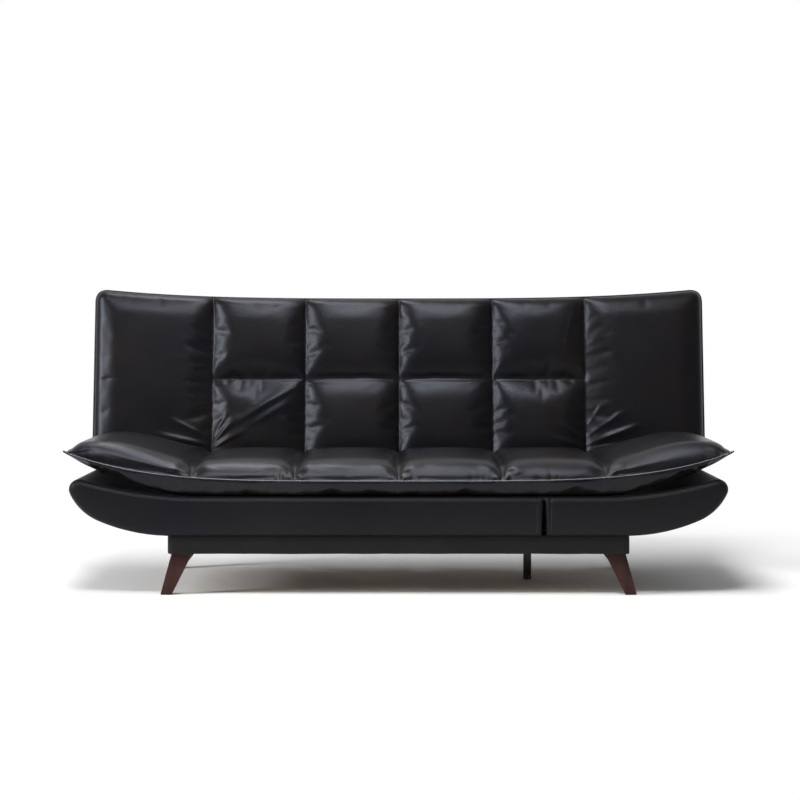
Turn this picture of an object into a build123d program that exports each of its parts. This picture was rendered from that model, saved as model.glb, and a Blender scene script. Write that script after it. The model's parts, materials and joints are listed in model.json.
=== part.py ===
from build123d import *
import os
from math import cos, radians, sin

os.makedirs("parts", exist_ok=True)

# Millimetres.  X is the width, Y runs to the back, Z is up.  The floor is Z 0.

# ----- backrest -----
back_width = 1903          # across the top corners
back_foot_width = 1899     # across the lower corners
back_length = 515          # hinge axis to the top corners, along the back
top_dip = 30               # the top edge sags this far between its corners
back_tilt = 12             # degrees from upright, at rest
face_offset = 30           # hinge axis to the front face
pad_depth = 42             # hinge axis to the rear of the front pad
frame_front = 45           # hinge axis to the front of the wooden frame
frame_rear = 100           # hinge axis to the rear of the wooden frame
rear_offset = 133          # hinge axis to the rear face
back_corner = 36           # corner radius, seen from the front
rear_round = 25
rear_pad_foot = -20
lower_block_top = 44
pad_notch_top = 145
frame_foot = 48
frame_top = 472
rail_width = 40
side_border = 12           # thickness of the upholstered ends of the back
hinge_stile_width = 35
wing_stile_width = 25
webbing_width = 50
webbing_spots = (70, 210, 350, 490, 775)

# ----- seat cushion -----
seat_width = 1860
seat_depth = 640
seat_height = 398          # floor to the crown of the middle panels
seam_height = 335          # floor to the front edge seam
hinge_drop = 33            # the hinge axis lies this far below the crown
seat_gap = 0.3
front_roll = 110           # run of the rounded front, from seam to crown
under_roll = 45
rear_roll = 34
wing_x = 560               # the wings begin to rise here

# ----- upholstered seat base -----
tier_width = 1848
tier_height = 112
tier_setback = 10          # behind the front seam of the cushion
tier_rear_gap = 45         # ahead of the hinge axis
keel_half = 640
bilge_drop = 78            # the bilge point lies this far below the rim
belly_height = 119         # height of the widest point over the underside
rim_inset = 31
rim_rise = 47
cover_skin = 10
cover_front = 15
cover_rear = 3
tier_edge = 14
dust_half = 600
board_thickness = 18
rib_thickness = 20
slot_x = 409
slot_width = 22
slot_height = 78
slot_depth = 50
slot_drop = 3
placket_width = 36         # sewn strip round the hand slot
liner_wall = 2.5
felt_thickness = 4
wire = 4

# ----- plinth and legs -----
leg_height = 121
plinth_height = 50
plinth_width = 1304
plinth_depth = 730
plinth_setback = 30
plinth_corner = 18
wrap = 3
rail_thickness = 30
block_size = 88
block_height = 40
plate_thickness = 3
glide_thickness = 3
leg_top_width = 57
leg_foot_width = 32
leg_top_x = 613.5
leg_foot_x = 658
leg_top_depth = 36
leg_foot_depth = 28
rear_leg_foot_x = 690      # the rear legs are splayed wider than the front ones
front_leg_y = 72           # behind the front seam
rear_leg_inset = 40
support_x = 386
support_y = 430            # behind the front seam
tube_radius = 12
tube_wall = 1.5

# ----- hinges -----
arm_x = 600                # inner face of the toothed arm
plate = 5                  # steel thickness
side_gap = 0.5             # between the arm and the seat bracket
pin_radius = 6
running = 0.05             # radial clearance of a pin in its hole
crest = 44                 # radius over the teeth
root = 37
notch_pitch = 26           # degrees between notches
pawl_angle = -55           # direction of the engaged pawl tip, from the axis
pawl_lift = 11             # degrees between engaged and released
pawl_pin_y = -12
pawl_pin_z = -62
pawl_pin_radius = 4
notch_front = 20           # the pads are cut away round each hinge, this far ahead of its axis,
notch_room_inner = 10      # this far inside the arm
notch_room_outer = 20      # and this far outside it
bolt_radius = 4
screw_radius = 2.5

# ----- worked out -----
tilt = radians(back_tilt)
reach = (back_length - rear_round) * sin(tilt) + (rear_offset - rear_round) * cos(tilt) + rear_round
overall_depth = seat_depth + seat_gap + face_offset + reach
front_y = -overall_depth / 2
seat_rear = front_y + seat_depth
hinge_y = seat_rear + seat_gap + face_offset
hinge_z = seat_height - hinge_drop
plinth_top = leg_height + plinth_height
tier_top = plinth_top + tier_height
tier_front = front_y + tier_setback
tier_rear = hinge_y - tier_rear_gap
tier_half = tier_width / 2
rim_x = tier_half - rim_inset
plinth_front = front_y + plinth_setback
plinth_rear = plinth_front + plinth_depth
plinth_mid = (plinth_front + plinth_rear) / 2
back_frame_half = back_foot_width / 2 - side_border
notch_inner = arm_x - notch_room_inner
notch_outer = arm_x + notch_room_outer
leg_rows = (
    ("front", front_y + front_leg_y, leg_foot_x),
    ("rear", plinth_rear - rear_leg_inset, rear_leg_foot_x),
)
sides = (("left", -1), ("right", 1))

back_plane = Plane(origin=(0, hinge_y, hinge_z), x_dir=(1, 0, 0), z_dir=(0, -cos(tilt), sin(tilt)))
face_axis = Axis((0, 0, 0), (0, -cos(tilt), sin(tilt)))


def facing_front(y):
    return Plane.XZ.offset(-y)


def hinge_side_plane(sign, near, thickness, turn=0.0, y=0.0, z=0.0):
    angle = radians(turn)
    x = min(sign * near, sign * (near + thickness))
    return Plane(
        origin=(x, hinge_y + y, hinge_z + z),
        x_dir=(0, cos(angle), sin(angle)),
        z_dir=(1, 0, 0),
    )


def polar(radius, degrees):
    return (radius * cos(radians(degrees)), radius * sin(radians(degrees)))


# =========================== backrest ===========================


def back_outline(foot, inset=0.0):
    foot_x = back_foot_width / 2 - inset
    top_x = back_width / 2 - inset
    top = back_length - inset
    with BuildLine() as outline:
        Line((-foot_x, foot), (foot_x, foot))
        Line((foot_x, foot), (top_x, top))
        ThreePointArc((top_x, top), (0, top - top_dip), (-top_x, top))
        Line((-top_x, top), (-foot_x, foot))
    return outline.edges()


def cut_hinge_notches(front, top):
    # room for the arm, bracket and pawl of each hinge
    for _, sign in sides:
        notch_width = notch_outer - notch_inner
        with BuildSketch(hinge_side_plane(sign, notch_inner, notch_width, -back_tilt)) as notch:
            with Locations(((front + rear_offset + 10) / 2, (top + rear_pad_foot - 20) / 2)):
                Rectangle(rear_offset + 10 - front, top - rear_pad_foot + 20)
        extrude(notch.sketch, amount=notch_width, mode=Mode.SUBTRACT)


with BuildPart() as back_pad:
    with BuildSketch(back_plane.offset(-pad_depth)) as pad_outline:
        make_face(back_outline(-face_offset))
        fillet(pad_outline.vertices(), back_corner)
    extrude(amount=pad_depth + face_offset)
    pad_face = back_pad.faces().sort_by(face_axis)[-1]
    fillet(pad_face.edges(), face_offset - 0.5)
    with BuildSketch(back_plane.offset(-frame_rear)):
        with Locations((0, (lower_block_top - face_offset + 2) / 2)):
            Rectangle(back_foot_width - 2 * back_corner, lower_block_top + face_offset - 2)
    extrude(amount=frame_rear - pad_depth)
    cut_hinge_notches(-notch_front, pad_notch_top)

back_pad.part.label = "back_pad"
export_step(back_pad.part, "parts/back_pad.step")

with BuildPart() as back_rear_pad:
    with BuildSketch(back_plane.offset(-rear_offset)) as rear_outline:
        make_face(back_outline(rear_pad_foot))
        fillet(rear_outline.vertices(), back_corner)
    extrude(amount=rear_offset - frame_rear)
    rear_face = back_rear_pad.faces().sort_by(face_axis)[0]
    fillet(rear_face.edges(), rear_round)
    cut_hinge_notches(frame_rear - 10, frame_foot)

back_rear_pad.part.label = "back_rear_pad"
export_step(back_rear_pad.part, "parts/back_rear_pad.step")

for side, sign in sides:
    with BuildPart() as side_border:
        with BuildSketch(back_plane.offset(-frame_rear)) as border_outline:
            make_face(back_outline(lower_block_top))
            fillet(border_outline.vertices().group_by(Axis.Y)[-1], back_corner)
            with Locations((-sign * (back_width - back_frame_half), back_length / 2)):
                Rectangle(2 * back_width, 2 * back_length, mode=Mode.SUBTRACT)
        extrude(amount=frame_rear - pad_depth)
    side_border.part.label = f"back_{side}_border"
    export_step(side_border.part, f"parts/back_{side}_border.step")

with BuildPart() as back_top_border:
    with BuildSketch(back_plane.offset(-frame_rear)):
        make_face(back_outline(frame_top))
        Rectangle(2 * back_frame_half, 4 * back_length, mode=Mode.INTERSECT)
    extrude(amount=frame_rear - pad_depth)

back_top_border.part.label = "back_top_border"
export_step(back_top_border.part, "parts/back_top_border.step")


def frame_bar(x_low, x_high, low, high):
    # one member of the back frame, drawn on the back plane
    with Locations(((x_low + x_high) / 2, (low + high) / 2)):
        Rectangle(x_high - x_low, high - low)


rail_low = frame_top - rail_width
stile_low = frame_foot
hinge_stile_x = arm_x - hinge_stile_width
end_stile_x = back_frame_half - wing_stile_width

with BuildPart() as back_top_rail:
    with BuildSketch(back_plane.offset(-frame_rear)):
        frame_bar(-back_frame_half, back_frame_half, rail_low, frame_top)
    extrude(amount=frame_rear - frame_front)

back_top_rail.part.label = "back_top_rail"
export_step(back_top_rail.part, "parts/back_top_rail.step")

with BuildPart() as back_bottom_rail:
    with BuildSketch(back_plane.offset(-frame_rear)):
        frame_bar(-hinge_stile_x, hinge_stile_x, stile_low, stile_low + rail_width)
    extrude(amount=frame_rear - frame_front)

back_bottom_rail.part.label = "back_bottom_rail"
export_step(back_bottom_rail.part, "parts/back_bottom_rail.step")

with BuildPart() as back_centre_stile:
    with BuildSketch(back_plane.offset(-frame_rear)):
        frame_bar(-hinge_stile_width / 2, hinge_stile_width / 2, stile_low + rail_width, rail_low)
    extrude(amount=frame_rear - frame_front)

back_centre_stile.part.label = "back_centre_stile"
export_step(back_centre_stile.part, "parts/back_centre_stile.step")

with BuildPart() as back_wing_stiles:
    with BuildSketch(back_plane.offset(-frame_rear)):
        for _, sign in sides:
            near = sign * notch_outer
            far = sign * (notch_outer + wing_stile_width)
            frame_bar(min(near, far), max(near, far), stile_low, rail_low)
    extrude(amount=frame_rear - frame_front)

back_wing_stiles.part.label = "back_wing_stiles"
export_step(back_wing_stiles.part, "parts/back_wing_stiles.step")

with BuildPart() as back_end_stiles:
    with BuildSketch(back_plane.offset(-frame_rear)):
        for _, sign in sides:
            near = sign * end_stile_x
            far = sign * back_frame_half
            frame_bar(min(near, far), max(near, far), stile_low, rail_low)
    extrude(amount=frame_rear - frame_front)

back_end_stiles.part.label = "back_end_stiles"
export_step(back_end_stiles.part, "parts/back_end_stiles.step")

with BuildPart() as back_wing_rails:
    with BuildSketch(back_plane.offset(-frame_rear)):
        for _, sign in sides:
            near = sign * (notch_outer + wing_stile_width)
            far = sign * end_stile_x
            frame_bar(min(near, far), max(near, far), stile_low, stile_low + rail_width)
    extrude(amount=frame_rear - frame_front)

back_wing_rails.part.label = "back_wing_rails"
export_step(back_wing_rails.part, "parts/back_wing_rails.step")

with BuildPart() as back_webbing:
    with BuildSketch(back_plane.offset(-frame_front)):
        for spot in webbing_spots:
            for _, sign in sides:
                middle = sign * spot
                frame_bar(middle - webbing_width / 2, middle + webbing_width / 2, stile_low, frame_top)
    extrude(amount=frame_front - pad_depth)

back_webbing.part.label = "back_webbing"
export_step(back_webbing.part, "parts/back_webbing.step")

# =========================== recliner hinges ===========================

strap_spots = ((22, 85), (68, 140), (68, 225))
arm_bolt_spots = ((68, 150), (68, 185), (68, 220))
notch_count = 4
bracket_x = arm_x + plate + side_gap
flange_width = 64
flange_low = -175
flange_high = -100
flange_front = -tier_rear_gap

for side, sign in sides:
    # The arm carries the ratchet: a sector of saw teeth round the axis, one notch for each
    # position of the back, and a cranked strap that is bolted to the hinge stile.
    with BuildPart() as arm:
        with BuildSketch(hinge_side_plane(sign, arm_x, plate, -back_tilt)) as arm_outline:
            with BuildSketch(mode=Mode.ADD):
                with Locations(strap_spots[0]):
                    Circle(18)
                Circle(16)
                make_hull()
            with BuildSketch(mode=Mode.ADD):
                with Locations(strap_spots[0], strap_spots[1]):
                    Circle(18)
                make_hull()
            with BuildSketch(mode=Mode.ADD):
                with Locations(strap_spots[1], strap_spots[2]):
                    Circle(18)
                make_hull()
            with BuildSketch(mode=Mode.ADD):
                Circle(crest)
                sector_low = pawl_angle + back_tilt - 4
                sector_high = pawl_angle + back_tilt + (notch_count - 1) * notch_pitch + 11
                with BuildLine():
                    Line((0, 0), polar(2 * crest, sector_low))
                    Polyline(
                        polar(2 * crest, sector_low),
                        polar(3 * crest, (sector_low + sector_high) / 2),
                        polar(2 * crest, sector_high),
                        (0, 0),
                    )
                make_face(mode=Mode.INTERSECT)
            for step in range(notch_count):
                at = pawl_angle + back_tilt + step * notch_pitch
                with BuildLine():
                    Polyline(
                        polar(crest + 3, at + 4.5),
                        polar(root, at + 4.5),
                        polar(root, at - 3),
                        polar(crest + 3, at - 14),
                        close=True,
                    )
                make_face(mode=Mode.SUBTRACT)
            Circle(pin_radius + running, mode=Mode.SUBTRACT)
            with Locations(*arm_bolt_spots):
                Circle(bolt_radius + running, mode=Mode.SUBTRACT)
        extrude(amount=plate)
    arm.part.label = f"{side}_ratchet_arm"
    export_step(arm.part, f"parts/{side}_ratchet_arm.step")

    # The bracket is a flange on the rear of the seat base and a web that stands out from it.
    with BuildPart() as bracket:
        with BuildSketch(hinge_side_plane(sign, bracket_x, plate)) as web_outline:
            with BuildLine():
                Polyline(
                    (flange_front, flange_low),
                    (flange_front, flange_high),
                    (-23, -72),
                    (4, -70),
                    (14, -115),
                    (-6, flange_low),
                    close=True,
                )
            make_face()
            with BuildSketch(mode=Mode.ADD):
                Circle(17)
                with Locations((pawl_pin_y, pawl_pin_z)):
                    Circle(13)
                make_hull()
            Circle(pin_radius, mode=Mode.SUBTRACT)
            with Locations((pawl_pin_y, pawl_pin_z)):
                Circle(pawl_pin_radius, mode=Mode.SUBTRACT)
        extrude(amount=plate)
        flange_middle = sign * (bracket_x + flange_width / 2)
        with BuildSketch(facing_front(hinge_y + flange_front + plate)):
            with Locations((flange_middle, hinge_z + (flange_low + flange_high) / 2)):
                Rectangle(flange_width, flange_high - flange_low)
                with GridLocations(34, 45, 2, 2):
                    Circle(screw_radius + running, mode=Mode.SUBTRACT)
        extrude(amount=plate)
    bracket.part.label = f"{side}_seat_bracket"
    export_step(bracket.part, f"parts/{side}_seat_bracket.step")

    # The pivot pin is riveted into the bracket, and the arm turns on it.
    with BuildPart() as pivot:
        with BuildSketch(hinge_side_plane(sign, arm_x - 4, plate * 2 + side_gap + 4)):
            Circle(pin_radius)
        extrude(amount=plate * 2 + side_gap + 4)
        with BuildSketch(hinge_side_plane(sign, bracket_x + plate, 4)):
            RegularPolygon(12, 6)
        extrude(amount=4)
    pivot.part.label = f"{side}_pivot_pin"
    export_step(pivot.part, f"parts/{side}_pivot_pin.step")

    with BuildPart() as clip:
        with BuildSketch(hinge_side_plane(sign, arm_x - 2.3, 2)):
            RegularPolygon(11, 6)
            Circle(pin_radius, mode=Mode.SUBTRACT)
        extrude(amount=2)
    clip.part.label = f"{side}_pivot_clip"
    export_step(clip.part, f"parts/{side}_pivot_clip.step")

    # The pawl hangs released here; turned up by pawl_lift its nose fills the first notch.
    with BuildPart() as pawl:
        pawl_plane = hinge_side_plane(sign, arm_x, plate, -pawl_lift, pawl_pin_y, pawl_pin_z)
        with BuildSketch(pawl_plane):
            corners = []
            for radius, turn in ((root + 0.8, 3.5), (crest + 6, 3.5), (crest + 6, -11), (root + 0.8, -2)):
                y, z = polar(radius, pawl_angle + turn)
                corners.append((y - pawl_pin_y, z - pawl_pin_z))
            with BuildLine():
                Polyline(*corners, close=True)
            make_face()
            nose_y, nose_z = polar(crest + 5.5, pawl_angle - 3.7)
            with BuildSketch(mode=Mode.ADD):
                Circle(9)
                with Locations((nose_y - pawl_pin_y, nose_z - pawl_pin_z)):
                    Circle(4)
                make_hull()
            Circle(pawl_pin_radius + running, mode=Mode.SUBTRACT)
        extrude(amount=plate)
    pawl.part.label = f"{side}_pawl"
    export_step(pawl.part, f"parts/{side}_pawl.step")

    with BuildPart() as pawl_pin:
        pin_length = 2 * plate + side_gap + 2.5
        with BuildSketch(hinge_side_plane(sign, arm_x - 2.5, pin_length, 0, pawl_pin_y, pawl_pin_z)):
            Circle(pawl_pin_radius)
        extrude(amount=pin_length)
        for near in (arm_x - 2.5, bracket_x + plate):
            with BuildSketch(hinge_side_plane(sign, near, 2.2, 0, pawl_pin_y, pawl_pin_z)):
                RegularPolygon(7.5, 6)
            extrude(amount=2.2)
    pawl_pin.part.label = f"{side}_pawl_pin"
    export_step(pawl_pin.part, f"parts/{side}_pawl_pin.step")

with BuildPart() as arm_bolts:
    for _, sign in sides:
        with BuildSketch(hinge_side_plane(sign, arm_x - 24, 24 + plate, -back_tilt)):
            with Locations(*arm_bolt_spots):
                Circle(bolt_radius)
        extrude(amount=24 + plate)
        with BuildSketch(hinge_side_plane(sign, arm_x + plate, 4, -back_tilt)):
            with Locations(*arm_bolt_spots):
                RegularPolygon(7.5, 6)
        extrude(amount=4)

arm_bolts.part.label = "arm_bolts"
export_step(arm_bolts.part, "parts/arm_bolts.step")

with BuildPart() as bracket_screws:
    for _, sign in sides:
        flange_middle = sign * (bracket_x + flange_width / 2)
        flange_face = hinge_y + flange_front + plate
        with BuildSketch(facing_front(flange_face)):
            with Locations((flange_middle, hinge_z + (flange_low + flange_high) / 2)):
                with GridLocations(34, 45, 2, 2):
                    Circle(screw_radius)
        extrude(amount=plate + cover_rear + 14)
        with BuildSketch(facing_front(flange_face + 2.5)):
            with Locations((flange_middle, hinge_z + (flange_low + flange_high) / 2)):
                with GridLocations(34, 45, 2, 2):
                    RegularPolygon(4.8, 6)
        extrude(amount=2.5)

bracket_screws.part.label = "bracket_screws"
export_step(bracket_screws.part, "parts/bracket_screws.step")

with BuildPart() as hinge_stiles:
    for _, sign in sides:
        low = min(sign * hinge_stile_x, sign * arm_x)
        with BuildSketch(back_plane.offset(-frame_rear)):
            frame_bar(low, low + hinge_stile_width, stile_low, rail_low)
        extrude(amount=frame_rear - frame_front)
        with BuildSketch(hinge_side_plane(sign, arm_x - 24.5, 25, -back_tilt)):
            with Locations(*arm_bolt_spots):
                Circle(bolt_radius + running)
        extrude(amount=25, mode=Mode.SUBTRACT)

hinge_stiles.part.label = "back_hinge_stiles"
export_step(hinge_stiles.part, "parts/back_hinge_stiles.step")

# =========================== seat cushion ===========================

# Along each wing the crown, the seam and the underside rise by these amounts at its tip.
wing_crown_rise = 35
wing_tip_dip = 8
wing_seam_rise = 78
wing_under_rise = 112
wing_slices = 7
cushion_bottom = tier_top + seat_gap


def cushion_section(crown, seam, under):
    # one upright slice of the cushion, front seam at the left
    rear_drop = min(rear_roll, 0.6 * (crown - under))
    with BuildLine() as slice_outline:
        Spline(
            (front_y, seam),
            (front_y + front_roll, crown),
            tangents=((0.25, 1), (1, 0)),
            tangent_scalars=(0.8, 0.8),
        )
        Line((front_y + front_roll, crown), (seat_rear - rear_roll, crown))
        Spline(
            (seat_rear - rear_roll, crown),
            (seat_rear, crown - rear_drop),
            tangents=((1, 0), (0, -1)),
        )
        Line((seat_rear, crown - rear_drop), (seat_rear, under))
        Line((seat_rear, under), (front_y + under_roll, under))
        Line((front_y + under_roll, under), (front_y, seam))
    return slice_outline.edges()


with BuildPart() as seat_cushion:
    with BuildSketch(Plane.YZ.offset(-wing_x)):
        make_face(cushion_section(seat_height, seam_height, cushion_bottom))
    extrude(amount=2 * wing_x)
    for _, sign in sides:
        with BuildPart(mode=Mode.PRIVATE) as wing:
            for step in range(wing_slices + 1):
                share = step / wing_slices
                swell = sin(radians(90) * min(share / 0.8, 1)) ** 2
                dip = max(0, (share - 0.8) / 0.2) ** 2
                with BuildSketch(Plane.YZ.offset(sign * (wing_x + share * (seat_width / 2 - wing_x)))):
                    section = cushion_section(
                        seat_height + wing_crown_rise * swell - wing_tip_dip * dip,
                        seam_height + wing_seam_rise * share ** 1.15,
                        cushion_bottom + wing_under_rise * share ** 1.8,
                    )
                    make_face(section)
            loft(ruled=True)
        add(wing.part)

seat_cushion.part.label = "seat_cushion"
export_step(seat_cushion.part, "parts/seat_cushion.step")

# =========================== seat base ===========================


def tier_outline(inset):
    # the boat-shaped profile of the seat base, seen from the front
    low = plinth_top + inset
    tip = tier_half - inset
    belly = plinth_top + belly_height
    rim_top = tier_top + rim_rise - inset
    rim = rim_x - 0.5 * inset
    top = tier_top - inset
    bilge = (tip - bilge_drop, low + 0.36 * (belly - low))
    with BuildLine() as outline:
        Line((0, low), (keel_half, low))
        keel_turn = TangentArc((keel_half, low), bilge, tangent=(1, 0))
        bilge_turn = TangentArc(keel_turn @ 1, (tip, belly), tangent=keel_turn % 1)
        TangentArc(bilge_turn @ 1, (rim, rim_top), tangent=bilge_turn % 1)
        TangentArc((wing_x, top), (rim, rim_top), tangent=(1, 0))
        Line((wing_x, top), (0, top))
        mirror(about=Plane.YZ)
    return outline.edges()


slot_z = plinth_top + tier_height / 2 - slot_drop
inner_front = tier_front + cover_front
inner_rear = tier_rear - cover_rear


def front_cover(cover):
    # the padded front of the seat base, from tip to tip
    with BuildSketch(facing_front(inner_front)) as profile:
        make_face(tier_outline(0))
    extrude(profile.sketch, amount=cover_front)
    fillet(cover.faces().sort_by(Axis.Y)[0].edges(), tier_edge)


def cut_front(width, height, corner, mode):
    with BuildSketch(facing_front(inner_front)) as cut:
        with Locations((slot_x, slot_z)):
            RectangleRounded(width, height, corner)
    extrude(cut.sketch, amount=cover_front, mode=mode)


with BuildPart() as base_front_panel:
    front_cover(base_front_panel)
    cut_front(placket_width, 2 * tier_height, 1, Mode.SUBTRACT)

base_front_panel.part.label = "base_front_panel"
export_step(base_front_panel.part, "parts/base_front_panel.step")

with BuildPart() as slot_placket:
    front_cover(slot_placket)
    cut_front(placket_width, 2 * tier_height, 1, Mode.INTERSECT)
    cut_front(slot_width, slot_height, slot_width / 2 - 0.1, Mode.SUBTRACT)

slot_placket.part.label = "slot_placket"
export_step(slot_placket.part, "parts/slot_placket.step")

with BuildPart() as base_band:
    with BuildSketch(facing_front(inner_rear)):
        make_face(tier_outline(0))
        make_face(tier_outline(cover_skin), mode=Mode.SUBTRACT)
    extrude(amount=inner_rear - inner_front)
    with BuildSketch(Plane.XY.offset(plinth_top - 1)):
        with Locations((0, (inner_front + inner_rear) / 2)):
            Rectangle(2 * dust_half, inner_rear - inner_front - 2 * cover_skin)
    extrude(amount=cover_skin + 2, mode=Mode.SUBTRACT)

base_band.part.label = "base_band"
export_step(base_band.part, "parts/base_band.step")

with BuildPart() as base_rear_panel:
    with BuildSketch(facing_front(tier_rear)):
        make_face(tier_outline(0))
        for _, sign in sides:
            flange_middle = sign * (bracket_x + flange_width / 2)
            with Locations((flange_middle, hinge_z + (flange_low + flange_high) / 2)):
                with GridLocations(34, 45, 2, 2):
                    Circle(screw_radius + running, mode=Mode.SUBTRACT)
    extrude(amount=cover_rear)

base_rear_panel.part.label = "base_rear_panel"
export_step(base_rear_panel.part, "parts/base_rear_panel.step")

with BuildPart() as dust_cover:
    with BuildSketch(Plane.XY.offset(plinth_top)):
        with Locations((0, (inner_front + inner_rear) / 2)):
            Rectangle(2 * dust_half - 0.4, inner_rear - inner_front - 2 * cover_skin - 0.4)
    extrude(amount=2)

dust_cover.part.label = "dust_cover"
export_step(dust_cover.part, "parts/dust_cover.step")

liner_gap = 0.3
liner_front = inner_front
with BuildPart() as slot_liner:
    with BuildSketch(facing_front(liner_front + slot_depth)):
        with Locations((slot_x, slot_z)):
            RectangleRounded(slot_width + 2 * liner_wall, slot_height + 2 * liner_wall, slot_width / 2)
    extrude(amount=slot_depth)
    with BuildSketch(facing_front(liner_front + slot_depth - liner_wall)):
        with Locations((slot_x, slot_z)):
            RectangleRounded(slot_width, slot_height, slot_width / 2 - 0.1)
    extrude(amount=slot_depth, mode=Mode.SUBTRACT)

slot_liner.part.label = "slot_liner"
export_step(slot_liner.part, "parts/slot_liner.step")

board_inset = cover_skin + 0.3
with BuildPart() as seat_front_board:
    with BuildSketch(facing_front(inner_front + board_thickness)):
        make_face(tier_outline(board_inset))
        with Locations((slot_x, slot_z)):
            RectangleRounded(
                slot_width + 2 * liner_wall + 2 * liner_gap,
                slot_height + 2 * liner_wall + 2 * liner_gap,
                slot_width / 2,
                mode=Mode.SUBTRACT,
            )
    extrude(amount=board_thickness)

seat_front_board.part.label = "seat_front_board"
export_step(seat_front_board.part, "parts/seat_front_board.step")

with BuildPart() as seat_rear_board:
    with BuildSketch(facing_front(inner_rear)):
        make_face(tier_outline(board_inset))
        for _, sign in sides:
            flange_middle = sign * (bracket_x + flange_width / 2)
            with Locations((flange_middle, hinge_z + (flange_low + flange_high) / 2)):
                with GridLocations(34, 45, 2, 2):
                    Circle(screw_radius + running, mode=Mode.SUBTRACT)
    extrude(amount=board_thickness)

seat_rear_board.part.label = "seat_rear_board"
export_step(seat_rear_board.part, "parts/seat_rear_board.step")

bay_front = inner_front + board_thickness
bay_rear = inner_rear - board_thickness
bay_middle = (bay_front + bay_rear) / 2
bay_depth = bay_rear - bay_front
spring_top = tier_top - cover_skin - felt_thickness - 0.6
rib_low = plinth_top + cover_skin + 2
rib_high = spring_top - wire - 2
rib_spots = (-560, -300, 0, 300, 560)
spring_spots = (90, 210, 330, 480)

with BuildPart() as seat_ribs:
    with BuildSketch(Plane.XY.offset(rib_low)):
        for spot in rib_spots:
            with Locations((spot, bay_middle)):
                Rectangle(rib_thickness, bay_depth)
    extrude(amount=rib_high - rib_low)

seat_ribs.part.label = "seat_ribs"
export_step(seat_ribs.part, "parts/seat_ribs.step")

with BuildPart() as wing_ribs:
    with BuildSketch(Plane.XY.offset(plinth_top + belly_height / 2)):
        for _, sign in sides:
            with Locations((sign * (tier_half - 2 * bilge_drop + 30), bay_middle)):
                Rectangle(rib_thickness, bay_depth)
    extrude(amount=tier_height / 2)

wing_ribs.part.label = "wing_ribs"
export_step(wing_ribs.part, "parts/wing_ribs.step")

# Each spring is a flat zigzag of wire from the front board to the rear board.
clip_depth = 8
spring_span = bay_depth - 2 * clip_depth
spring_runs = 13
run_pitch = (spring_span - wire) / (spring_runs - 1)
spring_swing = 44

with BuildPart() as seat_springs:
    with BuildSketch(Plane.XY.offset(spring_top - wire)):
        for spot in spring_spots:
            for _, sign in sides:
                for run in range(spring_runs):
                    y = bay_front + clip_depth + wire / 2 + run * run_pitch
                    with Locations((sign * spot, y)):
                        Rectangle(spring_swing, wire)
                    if run < spring_runs - 1:
                        edge = (spring_swing - wire) / 2
                        turn = edge if run % 2 else -edge
                        with Locations((sign * spot + turn, y + run_pitch / 2)):
                            Rectangle(wire, run_pitch)
    extrude(amount=wire)

seat_springs.part.label = "seat_springs"
export_step(seat_springs.part, "parts/seat_springs.step")

with BuildPart() as spring_clips:
    with BuildSketch(Plane.XY.offset(spring_top - wire - 4)):
        for spot in spring_spots:
            for _, sign in sides:
                for y in (bay_front + clip_depth / 2, bay_rear - clip_depth / 2):
                    with Locations((sign * spot, y)):
                        Rectangle(24, clip_depth)
    extrude(amount=wire + 4)

spring_clips.part.label = "spring_clips"
export_step(spring_clips.part, "parts/spring_clips.step")

with BuildPart() as deck_felt:
    with BuildSketch(Plane.XY.offset(spring_top + 0.1)):
        with Locations((0, bay_middle)):
            Rectangle(2 * wing_x - 10, bay_depth - 1)
    extrude(amount=felt_thickness)

deck_felt.part.label = "deck_felt"
export_step(deck_felt.part, "parts/deck_felt.step")

# =========================== plinth ===========================

core_half = plinth_width / 2 - wrap
core_front = plinth_front + wrap
core_rear = plinth_rear - wrap
core_depth = core_rear - core_front
corner_inner = plinth_corner - wrap


def plinth_ring():
    with Locations((0, plinth_mid)):
        RectangleRounded(plinth_width, plinth_depth, plinth_corner)
        RectangleRounded(plinth_width - 2 * wrap, plinth_depth - 2 * wrap, corner_inner, mode=Mode.SUBTRACT)


for name, wrap_y in (("front", plinth_front), ("rear", plinth_rear)):
    with BuildPart() as wrap_strip:
        with BuildSketch(Plane.XY.offset(leg_height)):
            plinth_ring()
            with Locations((0, wrap_y)):
                Rectangle(2 * plinth_width, 2 * plinth_corner, mode=Mode.INTERSECT)
        extrude(amount=plinth_height)
    wrap_strip.part.label = f"plinth_{name}_wrap"
    export_step(wrap_strip.part, f"parts/plinth_{name}_wrap.step")

with BuildPart() as end_wraps:
    with BuildSketch(Plane.XY.offset(leg_height)):
        plinth_ring()
        with Locations((0, plinth_mid)):
            Rectangle(2 * plinth_width, plinth_depth - 2 * plinth_corner, mode=Mode.INTERSECT)
    extrude(amount=plinth_height)

end_wraps.part.label = "plinth_end_wraps"
export_step(end_wraps.part, "parts/plinth_end_wraps.step")

for name, edge_y, inward in (("front", core_front, 1), ("rear", core_rear, -1)):
    with BuildPart() as base_rail:
        with BuildSketch(Plane.XY.offset(leg_height)) as rail_outline:
            with Locations((0, edge_y + inward * rail_thickness / 2)):
                Rectangle(2 * core_half, rail_thickness)
            outer_corners = rail_outline.vertices().sort_by(Axis.Y, reverse=inward < 0)[:2]
            fillet(outer_corners, corner_inner)
        extrude(amount=plinth_height)
    base_rail.part.label = f"base_{name}_rail"
    export_step(base_rail.part, f"parts/base_{name}_rail.step")

side_rail_depth = core_depth - 2 * rail_thickness
for side, sign in sides:
    with BuildPart() as side_rail:
        with BuildSketch(Plane.XY.offset(leg_height)):
            with Locations((sign * (core_half - rail_thickness / 2), plinth_mid)):
                Rectangle(rail_thickness, side_rail_depth)
        extrude(amount=plinth_height)
    side_rail.part.label = f"base_{side}_rail"
    export_step(side_rail.part, f"parts/base_{side}_rail.step")

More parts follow.
